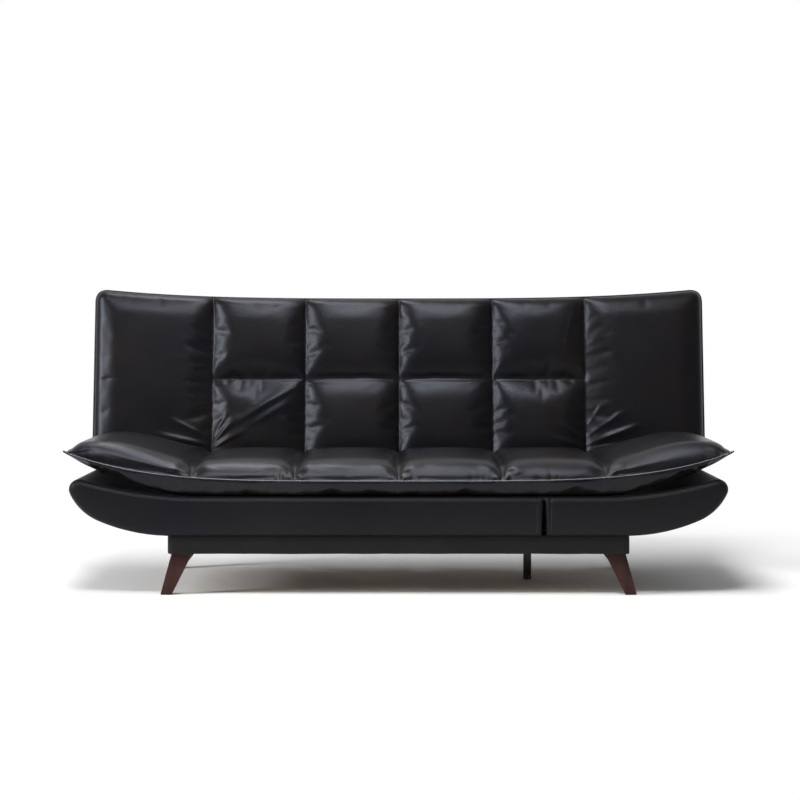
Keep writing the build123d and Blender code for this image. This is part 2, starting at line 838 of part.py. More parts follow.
with BuildPart() as cross_rails:
    with BuildSketch(Plane.XY.offset(leg_height)):
        for spot in (-support_x, 0, support_x):
            with Locations((spot, plinth_mid)):
                Rectangle(rail_thickness, side_rail_depth)
    extrude(amount=plinth_height)

cross_rails.part.label = "base_cross_rails"
export_step(cross_rails.part, "parts/base_cross_rails.step")

block_x = core_half - rail_thickness - block_size / 2
block_rows = (core_front + rail_thickness + block_size / 2, core_rear - rail_thickness - block_size / 2)
bolt_length = 62

with BuildPart() as corner_blocks:
    with BuildSketch(Plane.XY.offset(leg_height)):
        for y in block_rows:
            for _, sign in sides:
                with Locations((sign * block_x, y)):
                    Rectangle(block_size, block_size)
        for _, y, _ in leg_rows:
            for _, sign in sides:
                with Locations((sign * leg_top_x, y)):
                    Circle(bolt_radius + running, mode=Mode.SUBTRACT)
    extrude(amount=block_height)

corner_blocks.part.label = "corner_blocks"
export_step(corner_blocks.part, "parts/corner_blocks.step")

# =========================== legs ===========================

leg_top = leg_height - plate_thickness
plate_size = 64

for row, y, foot_x in leg_rows:
    for side, sign in sides:
        with BuildPart() as leg:
            with BuildSketch(Plane.XY.offset(glide_thickness)):
                with Locations((sign * foot_x, y)):
                    Rectangle(leg_foot_width, leg_foot_depth)
            with BuildSketch(Plane.XY.offset(leg_top)):
                with Locations((sign * leg_top_x, y)):
                    Rectangle(leg_top_width, leg_top_depth)
            loft(ruled=True)
            with BuildSketch(Plane.XY.offset(leg_top - 36)):
                with Locations((sign * leg_top_x, y)):
                    Circle(bolt_radius + running)
            extrude(amount=37, mode=Mode.SUBTRACT)
        leg.part.label = f"{row}_{side}_leg"
        export_step(leg.part, f"parts/{row}_{side}_leg.step")


def leg_spots():
    return [(sign * leg_top_x, y) for _, y, _ in leg_rows for _, sign in sides]


with BuildPart() as leg_plates:
    with BuildSketch(Plane.XY.offset(leg_top)):
        with Locations(*leg_spots()):
            Rectangle(plate_size, plate_size)
            Circle(bolt_radius + running, mode=Mode.SUBTRACT)
    extrude(amount=plate_thickness)

leg_plates.part.label = "leg_plates"
export_step(leg_plates.part, "parts/leg_plates.step")

with BuildPart() as leg_bolts:
    with BuildSketch(Plane.XY.offset(leg_top - 34)):
        with Locations(*leg_spots()):
            Circle(bolt_radius)
    extrude(amount=bolt_length)

leg_bolts.part.label = "leg_bolts"
export_step(leg_bolts.part, "parts/leg_bolts.step")

with BuildPart() as leg_glides:
    with BuildSketch():
        for _, y, foot_x in leg_rows:
            for _, sign in sides:
                with Locations((sign * foot_x, y)):
                    Rectangle(leg_foot_width - 2, leg_foot_depth - 2)
    extrude(amount=glide_thickness)

leg_glides.part.label = "leg_glides"
export_step(leg_glides.part, "parts/leg_glides.step")

support_spot = (support_x, front_y + support_y)
foot_height = 10

with BuildPart() as support_leg:
    with BuildSketch(Plane.XY.offset(foot_height)):
        with Locations(support_spot):
            Circle(tube_radius)
            Circle(tube_radius - tube_wall, mode=Mode.SUBTRACT)
    extrude(amount=leg_top - foot_height)

support_leg.part.label = "support_leg"
export_step(support_leg.part, "parts/support_leg.step")

with BuildPart() as support_plate:
    with BuildSketch(Plane.XY.offset(leg_top)):
        with Locations(support_spot):
            Rectangle(plate_size, plate_size)
    extrude(amount=plate_thickness)

support_plate.part.label = "support_plate"
export_step(support_plate.part, "parts/support_plate.step")

with BuildPart() as support_foot:
    with BuildSketch():
        with Locations(support_spot):
            Circle(tube_radius + 1)
    extrude(amount=foot_height)
    chamfer(support_foot.faces().sort_by(Axis.Z)[0].edges(), 3)
    with BuildSketch(Plane.XY.offset(foot_height)):
        with Locations(support_spot):
            Circle(tube_radius - tube_wall - running)
    extrude(amount=14)

support_foot.part.label = "support_foot"
export_step(support_foot.part, "parts/support_foot.step")
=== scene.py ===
import json
import math

import bmesh
import bpy
import numpy as np
from mathutils import Matrix, Vector, noise

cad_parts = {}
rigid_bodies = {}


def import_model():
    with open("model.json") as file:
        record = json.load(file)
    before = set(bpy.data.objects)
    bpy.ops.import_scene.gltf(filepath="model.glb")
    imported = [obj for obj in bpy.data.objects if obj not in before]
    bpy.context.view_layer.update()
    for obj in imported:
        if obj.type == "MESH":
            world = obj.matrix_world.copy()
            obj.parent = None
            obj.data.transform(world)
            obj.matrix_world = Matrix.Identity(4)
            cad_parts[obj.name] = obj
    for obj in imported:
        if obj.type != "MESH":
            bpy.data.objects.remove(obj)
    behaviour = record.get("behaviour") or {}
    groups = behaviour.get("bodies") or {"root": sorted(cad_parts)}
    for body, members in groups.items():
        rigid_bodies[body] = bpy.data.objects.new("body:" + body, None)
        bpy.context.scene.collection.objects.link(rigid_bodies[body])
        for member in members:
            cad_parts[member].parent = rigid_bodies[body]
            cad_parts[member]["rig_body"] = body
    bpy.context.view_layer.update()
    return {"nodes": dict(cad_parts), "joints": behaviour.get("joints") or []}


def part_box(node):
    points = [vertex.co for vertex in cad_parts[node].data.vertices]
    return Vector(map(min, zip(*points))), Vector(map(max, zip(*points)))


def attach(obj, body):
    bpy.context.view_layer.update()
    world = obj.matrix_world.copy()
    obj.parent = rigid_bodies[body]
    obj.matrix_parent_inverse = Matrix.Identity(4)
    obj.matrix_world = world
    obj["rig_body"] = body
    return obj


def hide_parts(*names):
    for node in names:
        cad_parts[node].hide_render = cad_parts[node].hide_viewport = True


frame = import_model()
nodes = frame["nodes"]
scene = bpy.context.scene
hinge = Vector(next(j["pos_m"] for j in frame["joints"] if j["name"] == "back_recline"))
print("frame loaded")


# ---- shared helpers ----

def spacedStops(keys, step):
    # every key is a stop, with even steps between
    stops = [keys[0]]
    for low, high in zip(keys, keys[1:]):
        count = max(1, round((high - low) / step))
        stops += [low + (high - low) * k / count for k in range(1, count + 1)]
    return stops


def gridOf(acrossStops, alongStops):
    # a flat grid whose lines lie at the given stops, facing +Z
    bm = bmesh.new()
    across, along = len(acrossStops) - 1, len(alongStops) - 1
    bmesh.ops.create_grid(bm, x_segments=across, y_segments=along, size=1)
    for v in bm.verts:
        v.co.x = acrossStops[round((v.co.x + 1) / 2 * across)]
        v.co.y = alongStops[round((v.co.y + 1) / 2 * along)]
    return bm


def keepMesh(bm, name, material, body, slotName, sharpAngle=50):
    # turns the bmesh into a piece that rides on its body
    mesh = bpy.data.meshes.new(name)
    bm.to_mesh(mesh)
    bm.free()
    mesh.polygons.foreach_set("use_smooth", [True] * len(mesh.polygons))
    mesh.set_sharp_from_angle(angle=math.radians(sharpAngle))
    mesh.materials.append(material)
    piece = bpy.data.objects.new(name, mesh)
    scene.collection.objects.link(piece)
    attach(piece, body)
    return piece


def outward(bm):
    bmesh.ops.remove_doubles(bm, verts=bm.verts, dist=1e-5)
    bmesh.ops.recalc_face_normals(bm, faces=bm.faces)


def fixedOrder(bm):
    # extruding and solidifying number edges and faces differently from run to run
    bm.verts.index_update()
    for parts in (bm.edges, bm.faces):
        ordered = sorted(parts, key=lambda part: sorted(v.index for v in part.verts))
        rank = {part: number for number, part in enumerate(ordered)}
        parts.sort(key=rank.get)
        parts.index_update()


def secondLayer(bm):
    # doubles every face; returns the new vertices
    grown = bmesh.ops.extrude_face_region(bm, geom=list(bm.faces), use_keep_orig=True)["geom"]
    return {v for v in grown if isinstance(v, bmesh.types.BMVert)}


def dropFaces(bm, test):
    # deletes the faces whose middle passes the test
    bmesh.ops.delete(bm, geom=[f for f in bm.faces if test(f.calc_center_median())], context="FACES")


def thicken(bm, wall):
    bmesh.ops.recalc_face_normals(bm, faces=bm.faces)
    bmesh.ops.solidify(bm, geom=list(bm.faces), thickness=wall)
    fixedOrder(bm)


def ringEdges(bm, ring):
    # edges that close a loop of vertices
    return [bm.edges.new(pair) for pair in zip(ring, ring[1:] + ring[:1])]


def evaluated(piece):
    return piece.evaluated_get(bpy.context.evaluated_depsgraph_get())


def stepped(a, b, step):
    # even stops from a towards b, without b
    count = max(1, round((b - a).length / step))
    return [a.lerp(b, k / count) for k in range(count)]


def mirrored(path):
    # the path reflected in x, running the other way
    return [Vector((-p.x, *p[1:])) for p in reversed(path)]


def roughly(*place):
    # smooth noise at a place
    return noise.noise(Vector(place))


def swell(piece, held, puff, freedom=None):
    # cloth under pressure, held along its sewn lines, with the travel capped
    home = piece.parent
    piece.parent = None
    start = [v.co.copy() for v in piece.data.vertices]
    sewn = piece.vertex_groups.new(name="sewn")
    sewn.add(held, 1.0, "REPLACE")
    cloth = piece.modifiers.new("puff", "CLOTH")
    rules = cloth.settings
    rules.quality = puff["quality"]
    rules.mass = puff["mass"]
    rules.tension_stiffness = rules.compression_stiffness = rules.shear_stiffness = puff["stretch"]
    rules.bending_stiffness = puff["bending"]
    rules.shrink_min = -puff["spareCloth"]
    rules.use_pressure = True
    rules.uniform_pressure_force = puff["pressure"]
    rules.vertex_group_mass = "sewn"
    rules.effector_weights.gravity = 0
    cloth.collision_settings.use_collision = False
    cloth.point_cache.frame_start = 1
    cloth.point_cache.frame_end = puff["frames"]
    for number in range(1, puff["frames"] + 1):
        scene.frame_set(number)
    shaped = evaluated(piece)
    moved = [v.co.copy() for v in shaped.data.vertices]
    piece.modifiers.remove(cloth)
    scene.frame_set(1)
    piece.vertex_groups.clear()
    for v, before, after in zip(piece.data.vertices, start, moved):
        travel = after - before
        reach = travel.length
        if reach > 1e-9:
            travel *= puff["cap"] * math.tanh(reach / puff["cap"]) / reach
        v.co = before + travel * (freedom(before) if freedom else 1)
    piece.parent = home


def subdivideOnce(piece):
    # one level of subdivision, applied
    smoother = piece.modifiers.new("smoother", "SUBSURF")
    smoother.levels = smoother.render_levels = 1
    mesh = bpy.data.meshes.new_from_object(evaluated(piece))
    piece.modifiers.clear()
    piece.data = mesh


ridge = {"overrun": 0.15, "narrow": 0.55, "widen": 0.9, "steep": 0.62, "gentle": 1.5, "reach": 4, "fade": 1.2}


def crease(piece, flatten, folds):
    # each fold is (start, end, width, height): a ridge that widens on its way, steep on one side
    overrun = ridge["overrun"]
    mesh = piece.data
    normals = [v.normal.copy() for v in mesh.vertices]
    places = [flatten(v.co) for v in mesh.vertices]
    for start, end, width, depth in folds:
        first, run = Vector(start), Vector(end) - Vector(start)
        length = run.length
        along = run / length
        for v, normal, place in zip(mesh.vertices, normals, places):
            if place is None:
                continue
            offset = place - first
            share = offset.dot(along) / length
            if share < -overrun or share > 1 + overrun:
                continue
            spread = width * (ridge["narrow"] + ridge["widen"] * max(0, share))
            side = (offset.x * along.y - offset.y * along.x) / spread
            if abs(side) > ridge["reach"]:
                continue
            whole = min(1, max(0, (share + overrun) / (1 + 2 * overrun)))
            fade = math.sin(math.pi * whole) ** ridge["fade"]
            slope = ridge["steep"] if side > 0 else ridge["gentle"]
            v.co += normal * depth * fade * math.exp(-((side / slope) ** 2))


def tube(name, path, radius, material, body, slotName, closed=False):
    # a welt or piping cord along a smooth path
    curve = bpy.data.curves.new(name, "CURVE")
    curve.dimensions = "3D"
    curve.bevel_depth = radius
    curve.bevel_resolution = 2
    curve.use_fill_caps = not closed
    line = curve.splines.new("POLY")
    line.points.add(len(path) - 1)
    for point, place in zip(line.points, path):
        point.co = (*place, 1)
    line.use_cyclic_u = closed
    shape = bpy.data.objects.new(name + "Line", curve)
    scene.collection.objects.link(shape)
    mesh = bpy.data.meshes.new_from_object(evaluated(shape))
    bpy.data.objects.remove(shape)
    bm = bmesh.new()
    bm.from_mesh(mesh)
    outward(bm)
    return keepMesh(bm, name, material, body, slotName)


def evenPath(path, step):
    # points a step apart along a polyline
    spots, carry = [path[0]], 0.0
    for a, b in zip(path, path[1:]):
        span = (b - a).length
        reach = step - carry
        while reach < span:
            spots.append(a.lerp(b, reach / span))
            reach += step
        carry = span - (reach - step)
    return spots


def stitchRow(name, path, outwardOf, stitch, material, body, slotName):
    # short thread lengths end to end along a path
    bm = bmesh.new()
    ends = evenPath(path, stitch["pitch"])
    for a, b in zip(ends, ends[1:]):
        run = (b - a).normalized()
        up = outwardOf((a + b) / 2)
        side = run.cross(up).normalized()
        up = side.cross(run)
        turn = Matrix((side, run, up)).transposed().to_4x4()
        place = Matrix.Translation((a + b) / 2 + up * stitch["lift"]) @ turn
        size = Matrix.Diagonal((stitch["width"], stitch["length"], stitch["height"], 1))
        bmesh.ops.create_icosphere(bm, subdivisions=1, radius=0.5, matrix=place @ size)
    return keepMesh(bm, name, material, body, slotName)


def sleeve(rings):
    # a tube through closed rings of the same count
    bm = bmesh.new()
    current = [bm.verts.new(place) for place in rings[0]]
    edges = ringEdges(bm, current)
    for ring in rings[1:]:
        grown = bmesh.ops.extrude_edge_only(bm, edges=edges)["geom"]
        edges = [e for e in grown if isinstance(e, bmesh.types.BMEdge)]
        fresh = {v for v in grown if isinstance(v, bmesh.types.BMVert)}
        current = [next(e.other_vert(v) for e in v.link_edges if e.other_vert(v) in fresh) for v in current]
        for v, place in zip(current, ring):
            v.co = place
    return bm


def solidOf(nodeName):
    # the CAD solid as clean faces
    bm = bmesh.new()
    bm.from_mesh(nodes[nodeName].data)
    bmesh.ops.remove_doubles(bm, verts=bm.verts, dist=1e-5)
    bmesh.ops.dissolve_limit(bm, angle_limit=math.radians(1), verts=bm.verts, edges=bm.edges)
    return bm


def easedCopy(nodeName, pieceName, material, slotName, ease):
    # a hard piece with its sharp edges slightly rounded
    bm = solidOf(nodeName)
    hard = [e for e in bm.edges if e.is_manifold and e.calc_face_angle() > math.radians(30)]
    bmesh.ops.bevel(
        bm, geom=hard, affect="EDGES", offset=ease, offset_type="OFFSET",
        segments=2, profile=0.5, clamp_overlap=True,
    )
    piece = keepMesh(bm, pieceName, material, nodes[nodeName]["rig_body"], slotName, 35)
    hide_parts(nodeName)


def softCopy(nodeName, pieceName, material, slotName, step, drift):
    # a cloth or felt piece, with its flat faces gently uneven
    bm = solidOf(nodeName)
    for _ in range(5):
        long = [e for e in bm.edges if e.calc_length() > step]
        if not long:
            break
        bmesh.ops.subdivide_edges(bm, edges=long, cuts=1, use_grid_fill=True)
    bmesh.ops.triangulate(bm, faces=[f for f in bm.faces if len(f.verts) > 4])
    bm.normal_update()
    for v in bm.verts:
        v.co += v.normal * drift * noise.noise(v.co * 9)
    piece = keepMesh(bm, pieceName, material, nodes[nodeName]["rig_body"], slotName, 40)
    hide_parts(nodeName)


def tangentArc(start, tangent, end, count):
    # points on the arc that leaves start along tangent and reaches end
    run = end - start
    normal = Vector((-tangent.y, tangent.x))
    across = run.dot(normal)
    radius = run.length_squared / (2 * across)
    centre = start + normal * radius
    first = math.atan2(start.y - centre.y, start.x - centre.x)
    turn = 2 * math.atan2(across, run.dot(tangent))
    spots = []
    for k in range(count + 1):
        angle = first + turn * k / count
        spots.append(centre + abs(radius) * Vector((math.cos(angle), math.sin(angle))))
    return spots


def arcEnd(start, tangent, end):
    # the direction in which that arc arrives
    run = end - start
    turn = 2 * math.atan2(tangent.x * run.y - tangent.y * run.x, run.dot(tangent))
    return Vector(
        (
            tangent.x * math.cos(turn) - tangent.y * math.sin(turn),
            tangent.x * math.sin(turn) + tangent.y * math.cos(turn),
        )
    )


# ---- materials ----

def feed(node, inputs):
    # sets each input to its value, or links it to the output given
    for name, value in inputs.items():
        if isinstance(value, bpy.types.NodeSocket):
            node.id_data.links.new(value, node.inputs[name])
        else:
            node.inputs[name].default_value = value


def newNode(tree, kind, inputs, **settings):
    node = tree.nodes.new("ShaderNode" + kind)
    for name, value in settings.items():
        setattr(node, name, value)
    feed(node, inputs)
    return node


def startMaterial(name):
    made = bpy.data.materials.new(name)
    made.use_nodes = True
    tree = made.node_tree
    place = newNode(tree, "TexCoord", {}).outputs["Object"]
    return made, tree, tree.nodes["Principled BSDF"], place


def noiseNode(tree, place, scale, detail=3.0, roughness=0.5):
    inputs = {"Vector": place, "Scale": scale, "Detail": detail, "Roughness": roughness}
    return newNode(tree, "TexNoise", inputs).outputs["Fac"]


def rampNode(tree, factor, stops):
    ramp = newNode(tree, "ValToRGB", {"Fac": factor})
    marks = ramp.color_ramp.elements
    for mark, (position, colour) in zip(marks, stops):
        mark.position = position
        mark.color = (*colour, 1)
    return ramp.outputs["Color"]


def rangeNode(tree, factor, low, high, start=0.0, end=1.0):
    inputs = {"Value": factor, "From Min": start, "From Max": end, "To Min": low, "To Max": high}
    return newNode(tree, "MapRange", inputs).outputs["Result"]


def bumpNode(tree, height, strength, distance, under=None):
    inputs = {"Height": height, "Strength": strength, "Distance": distance}
    if under:
        inputs["Normal"] = under
    return newNode(tree, "Bump", inputs).outputs["Normal"]


def leatherFinish(name, look):
    # coated leather: dark body with warm patches painted into it as glints (painted highlight) in random
    # mottled spots; pebbled grain, uneven gloss; grain and ripple are scale, strength, depth
    made, tree, shader, place = startMaterial(name)
    grainScale, *grainBump = look["grain"]
    rippleScale, *rippleBump = look["ripple"]
    # random mottled patches; where they run high, the base colour takes the warm tone of a painted glint
    patches = noiseNode(tree, place, look["patchScale"], 4)
    rubbed = noiseNode(tree, place, look["rubScale"], 5, 0.6)
    pebbleInputs = {"Vector": place, "Scale": grainScale}
    grain = newNode(tree, "TexVoronoi", pebbleInputs, feature="DISTANCE_TO_EDGE")
    fine = bumpNode(tree, rangeNode(tree, grain.outputs["Distance"], 0, 1), *grainBump)
    ripples = noiseNode(tree, place, rippleScale, 3)
    feed(shader, {
        "Base Color": rampNode(tree, patches, [(0.32, look["cool"]), (0.68, look["warm"])]),
        "Roughness": rangeNode(tree, rubbed, *look["rough"]),
        "Normal": bumpNode(tree, ripples, *rippleBump, fine),
        "Specular IOR Level": look["specular"],
        "Specular Tint": (*look["tint"], 1),
    })
    return made


cushionLook = {
    "cool": (0.0030, 0.0030, 0.0046),
    # painted warm glint: a highlight tint put into the base colour, spread in random mottled patches
    "warm": (0.0075, 0.0056, 0.0048),
    "tint": (0.80, 0.85, 1.0),
    "patchScale": 4.0,
    "rubScale": 9.0,
    "rough": (0.26, 0.40),
    "grain": (420.0, 0.35, 0.0006),
    "ripple": (70.0, 0.25, 0.0010),
    "specular": 0.20,
}
baseLook = {
    "cool": (0.0030, 0.0030, 0.0042),
    # painted warm glint: a highlight tint put into the base colour, spread in random mottled patches
    "warm": (0.0060, 0.0050, 0.0050),
    "tint": (0.84, 0.88, 1.0),
    "patchScale": 2.0,
    "rubScale": 6.0,
    "rough": (0.44, 0.54),
    "grain": (420.0, 0.30, 0.0005),
    "ripple": (60.0, 0.12, 0.0008),
    "specular": 0.16,
}
leather = leatherFinish("blackLeather", cushionLook)
baseLeather = leatherFinish("baseLeather", baseLook)


def wovenFinish(name, dark, light, threads, rough):
    # plain woven cloth: crossed fine waves
    made, tree, shader, place = startMaterial(name)
    heights = {}
    for number, direction in enumerate(("X", "Z")):
        inputs = {"Vector": place, "Scale": threads, "Distortion": 0.6}
        heights[number] = newNode(tree, "TexWave", inputs, bands_direction=direction).outputs["Fac"]
    weave = newNode(tree, "Math", heights, operation="MULTIPLY")
    patches = noiseNode(tree, place, 7.0, 4)
    feed(shader, {
        "Base Color": rampNode(tree, patches, [(0.3, dark), (0.7, light)]),
        "Normal": bumpNode(tree, weave.outputs[0], 0.4, 0.0006),
        "Roughness": rough,
        "Specular IOR Level": 0.12,
        "Sheen Weight": 0.03,
    })
    return made


wrapCloth = wovenFinish("plinthWrap", (0.0060, 0.0060, 0.0070), (0.0095, 0.0090, 0.0090), 260.0, 0.62)
liningCloth = wovenFinish("liningCloth", (0.010, 0.010, 0.011), (0.016, 0.016, 0.017), 320.0, 0.85)


def grainFinish(name, grainLook, stops, rough, bump, constants, stretch=(1, 1, 1)):
    # colour, gloss and bump from one noise
    made, tree, shader, place = startMaterial(name)
    scaled = newNode(tree, "Mapping", {"Vector": place, "Scale": stretch})
    grain = noiseNode(tree, scaled.outputs["Vector"], *grainLook)
    feed(shader, {
        "Base Color": rampNode(tree, grain, stops),
        "Roughness": rangeNode(tree, grain, *rough),
        "Normal": bumpNode(tree, grain, *bump),
        **constants,
    })
    return made


def woodFinish(name, dark, light, ringScale, rough, direction):
    stops = [(0.30, dark), (0.72, light)]
    gloss, constants = (rough + 0.08, rough - 0.06), {"Specular IOR Level": 0.25}
    return grainFinish(name, (ringScale, 6, 0.62), stops, gloss, (0.25, 0.0008), constants, direction)


legStain = (0.013, 0.0028, 0.0016), (0.040, 0.0090, 0.0048)
pine = (0.42, 0.27, 0.14), (0.62, 0.45, 0.26)
legWood = woodFinish("stainedLegWood", *legStain, 55.0, 0.42, (1, 1, 0.07))
frameWood = woodFinish("pineFrameWood", *pine, 40.0, 0.65, (0.06, 1, 1))


def steelFinish(name, colour, rough, metallic, wear):
    stops = [(0.35, colour), (0.8, wear)]
    gloss, constants = (rough - 0.08, rough + 0.1), {"Metallic": metallic}
    return grainFinish(name, (60.0, 6, 0.65), stops, gloss, (0.08, 0.0004), constants)


blackSteel = steelFinish("blackSteel", (0.012, 0.012, 0.013), 0.38, 0.3, (0.022, 0.022, 0.023))
zincSteel = steelFinish("zincSteel", (0.48, 0.47, 0.44), 0.34, 1.0, (0.60, 0.59, 0.57))
blackPlastic = steelFinish("blackPlastic", (0.014, 0.014, 0.014), 0.48, 0.0, (0.020, 0.020, 0.020))


def threadFinish(name, colour):
    made, tree, shader, place = startMaterial(name)
    twist = noiseNode(tree, place, 900.0, 2)
    low = tuple(0.7 * part for part in colour)
    feed(shader, {
        "Base Color": rampNode(tree, twist, [(0.3, low), (0.7, colour)]),
        "Normal": bumpNode(tree, twist, 0.4, 0.0003),
        "Roughness": 0.55,
    })
    return made


paleThread = threadFinish("paleThread", (0.42, 0.43, 0.46))
darkThread = threadFinish("darkThread", (0.060, 0.060, 0.064))
onBack = (leather, "backrest", "leather")
onSeat = (leather, "base", "leather")
onBase = (baseLeather, "base", "leather")
print("materials made")


# ---- camera, light and floor ----

view = {
    "place": (0.004, -6.45, 0.784),
    "pitch": 2.19,
    "lens": 96.7,
    "sensor": 36.0,
}
camera = bpy.data.objects.new("camera", bpy.data.cameras.new("camera"))
camera.data.lens = view["lens"]
camera.data.sensor_width = view["sensor"]
camera.location = view["place"]
camera.rotation_euler = (math.radians(90 - view["pitch"]), 0, 0)
scene.collection.objects.link(camera)
scene.camera = camera
scene.view_settings.view_transform = "Standard"

lamps = {
    "leftKey": {"place": (-4.6, -2.2, 2.4), "aim": (0, 0, 0.5), "size": (0.9, 2.0), "watts": 210},
    "highFront": {"place": (-0.6, -3.4, 4.6), "aim": (0, 0, 0.4), "size": (1.6, 0.8), "watts": 130},
    "topBox": {"place": (-0.2, -0.5, 3.2), "aim": (0, -0.4, 0.3), "size": (3.4, 0.6), "watts": 95},
}
for name, lamp in lamps.items():
    box = bpy.data.lights.new(name, "AREA")
    box.shape = "RECTANGLE"
    box.size, box.size_y = lamp["size"]
    box.energy = lamp["watts"]
    holder = bpy.data.objects.new(name, box)
    holder.location = lamp["place"]
    beam = Vector(lamp["aim"]) - Vector(lamp["place"])
    holder.rotation_euler = beam.to_track_quat("-Z", "Y").to_euler()
    scene.collection.objects.link(holder)


def seenRays(tree):
    # 1 for rays that show the backdrop itself: camera, glossy and transmission
    path = newNode(tree, "LightPath", {})
    total = path.outputs["Is Camera Ray"]
    for name in ("Is Glossy Ray", "Is Transmission Ray"):
        total = newNode(tree, "Math", {0: total, 1: path.outputs[name]}, operation="MAXIMUM").outputs[0]
    return total


studio = {
    "ambient": 0.34,
    "backdrop": 1.0,
    "frontWall": 0.15,
    "frontAt": -0.35,
    "behindAt": 0.45,
    "floor": (0.93, 0.93, 0.93, 1),
    "floorHalf": 14,
    "glowStart": 1.1,
    "glowEnd": 2.2,
}
white = (1, 1, 1, 1)
world = bpy.data.worlds.new("studio")
scene.world = world
world.use_nodes = True
sky = world.node_tree
ambient = sky.nodes["Background"]
feed(ambient, {"Color": white, "Strength": studio["ambient"]})
direction = newNode(sky, "SeparateXYZ", {0: newNode(sky, "TexCoord", {}).outputs["Generated"]})
walls = (studio["frontWall"], studio["backdrop"], studio["frontAt"], studio["behindAt"])
behind = rangeNode(sky, direction.outputs["Y"], *walls)
cameraRay = newNode(sky, "LightPath", {}).outputs["Is Camera Ray"]
shown = newNode(sky, "Math", {0: behind, 1: cameraRay}, operation="MAXIMUM")
backdrop = newNode(sky, "Background", {"Color": white, "Strength": shown.outputs[0]})
mixed = newNode(sky, "MixShader", {"Fac": seenRays(sky), 1: ambient.outputs[0], 2: backdrop.outputs[0]})
feed(sky.nodes["World Output"], {"Surface": mixed.outputs[0]})

floorMaterial, tree, shader, place = startMaterial("paleFloor")
feed(shader, {"Base Color": studio["floor"], "Roughness": 0.9, "Specular IOR Level": 0.0})
distance = newNode(tree, "VectorMath", {0: place}, operation="LENGTH").outputs["Value"]
fadeIn = rangeNode(tree, distance, 0, 1, studio["glowStart"], studio["glowEnd"])
fadeIn.node.interpolation_type = "SMOOTHSTEP"
share = newNode(tree, "Math", {0: seenRays(tree), 1: fadeIn}, operation="MULTIPLY")
glow = newNode(tree, "Emission", {})
blend = newNode(tree, "MixShader", {"Fac": share.outputs[0], 1: shader.outputs[0], 2: glow.outputs[0]})
feed(tree.nodes["Material Output"], {"Surface": blend.outputs[0]})
bm = bmesh.new()
bmesh.ops.create_grid(bm, x_segments=1, y_segments=1, size=studio["floorHalf"])
floorMesh = bpy.data.meshes.new("floor")
bm.to_mesh(floorMesh)
bm.free()
floorMesh.materials.append(floorMaterial)
floor = bpy.data.objects.new("floor", floorMesh)
scene.collection.objects.link(floor)
print("studio set")


# ---- backrest ----

back = {
    "tilt": math.radians(12),
    "footHalf": 0.9495,
    "topHalf": 0.9515,
    "foot": -0.030,
    "length": 0.519,
    "topDip": 0.031,
    "dipPower": 3.3,
    "corner": 0.036,
    "face": 0.028,
    "edge": -0.002,
    "roll": 0.030,
    "inner": -0.042,
    "rearEdge": -0.100,
    "rear": -0.130,
    "rearFoot": -0.020,
    "rearRoll": 0.026,
    "seams": (-0.5815, -0.2925, 0.0, 0.2925, 0.5815),
    "channel": 0.232,
    "channelDepth": 0.021,
    "channelReach": 0.072,
    "dome": 0.004,
    "step": 0.0095,
    "hingeNotch": (0.590, 0.620),
    "notchTop": 0.048,
    "hingePocket": (0.583, 0.630),
    "pocketTop": 0.140,
    "pocketWall": 0.005,
}
backPuff = {
    "quality": 5,
    "mass": 0.25,
    "stretch": 18,
    "bending": 2.5,
    "spareCloth": 0.012,
    "pressure": 5.0,
    "frames": 18,
    "cap": 0.009,
    "easeReach": 0.075,
    "edgeFreedom": 0.15,
}


leanSin, leanCos = math.sin(back["tilt"]), math.cos(back["tilt"])


def backPoint(x, up, out):
    # x, height up the back from the hinge line, and distance in front of it
    return Vector((x, hinge.y + up * leanSin - out * leanCos, hinge.z + up * leanCos + out * leanSin))


def backFlat(co):
    # x and height up the back of a point
    return Vector((co.x, (co.y - hinge.y) * leanSin + (co.z - hinge.z) * leanCos))


def backOut(co):
    # how far in front of the hinge line a point lies
    return (co.z - hinge.z) * leanSin - (co.y - hinge.y) * leanCos


def halfWidth(up, inset=0.0):
    share = (up - back["foot"]) / (back["length"] - back["foot"])
    return back["footHalf"] + (back["topHalf"] - back["footHalf"]) * share - inset


def topEdge(x, inset=0.0):
    share = min(1, abs(x) / back["topHalf"])
    return back["length"] - back["topDip"] * (1 - share ** back["dipPower"]) - inset


def onOutline(x, up, foot, inset=0.0):
    # squares the grid to the sloping sides and sagging top, then rounds its corners
    share = (up - foot) / (back["length"] - foot)
    half = halfWidth(up, inset)
    x = x / back["topHalf"] * half
    tall = topEdge(x, inset) - foot - inset
    up = foot + inset + share * tall
    radius = back["corner"] - inset
    middleUp = (topEdge(x, inset) + foot + inset) / 2
    a = abs(x) - (half - radius)
    b = abs(up - middleUp) - (tall / 2 - radius)
    if a > 0 and b > 0:
        ratio = max(a, b) / math.hypot(a, b)
        x = math.copysign(half - radius + a * ratio, x)
        up -= math.copysign(b - b * ratio, up - middleUp)
    return x, up


def edgeDistance(x, up, foot, inset=0.0):
    # how far inside the rounded outline a flat point lies
    half, top = halfWidth(up, inset), topEdge(x, inset)
    radius = back["corner"] - inset
    a = abs(x) - (half - radius)
    b = max(up - (top - radius), foot + inset + radius - up)
    if a > 0 and b > 0:
        return max(0, radius - math.hypot(a, b))
    return max(0, radius - max(a, b))


def rollProfile(distance, radius):
    reach = max(0, 1 - distance / radius)
    return math.sqrt(max(0, 1 - reach * reach))


def seamProfile(distance, reach):
    # falls ever more steeply into the seam, as a stuffed panel does
    inward = max(0, 1 - distance / reach)
    return math.sqrt(1 - inward * inward)


def seamsHeight(x, reach):
    # 1 between the upright seams, 0 on them
    height = 1.0
    for line in back["seams"]:
        height *= seamProfile(abs(x - line), reach)
    return height


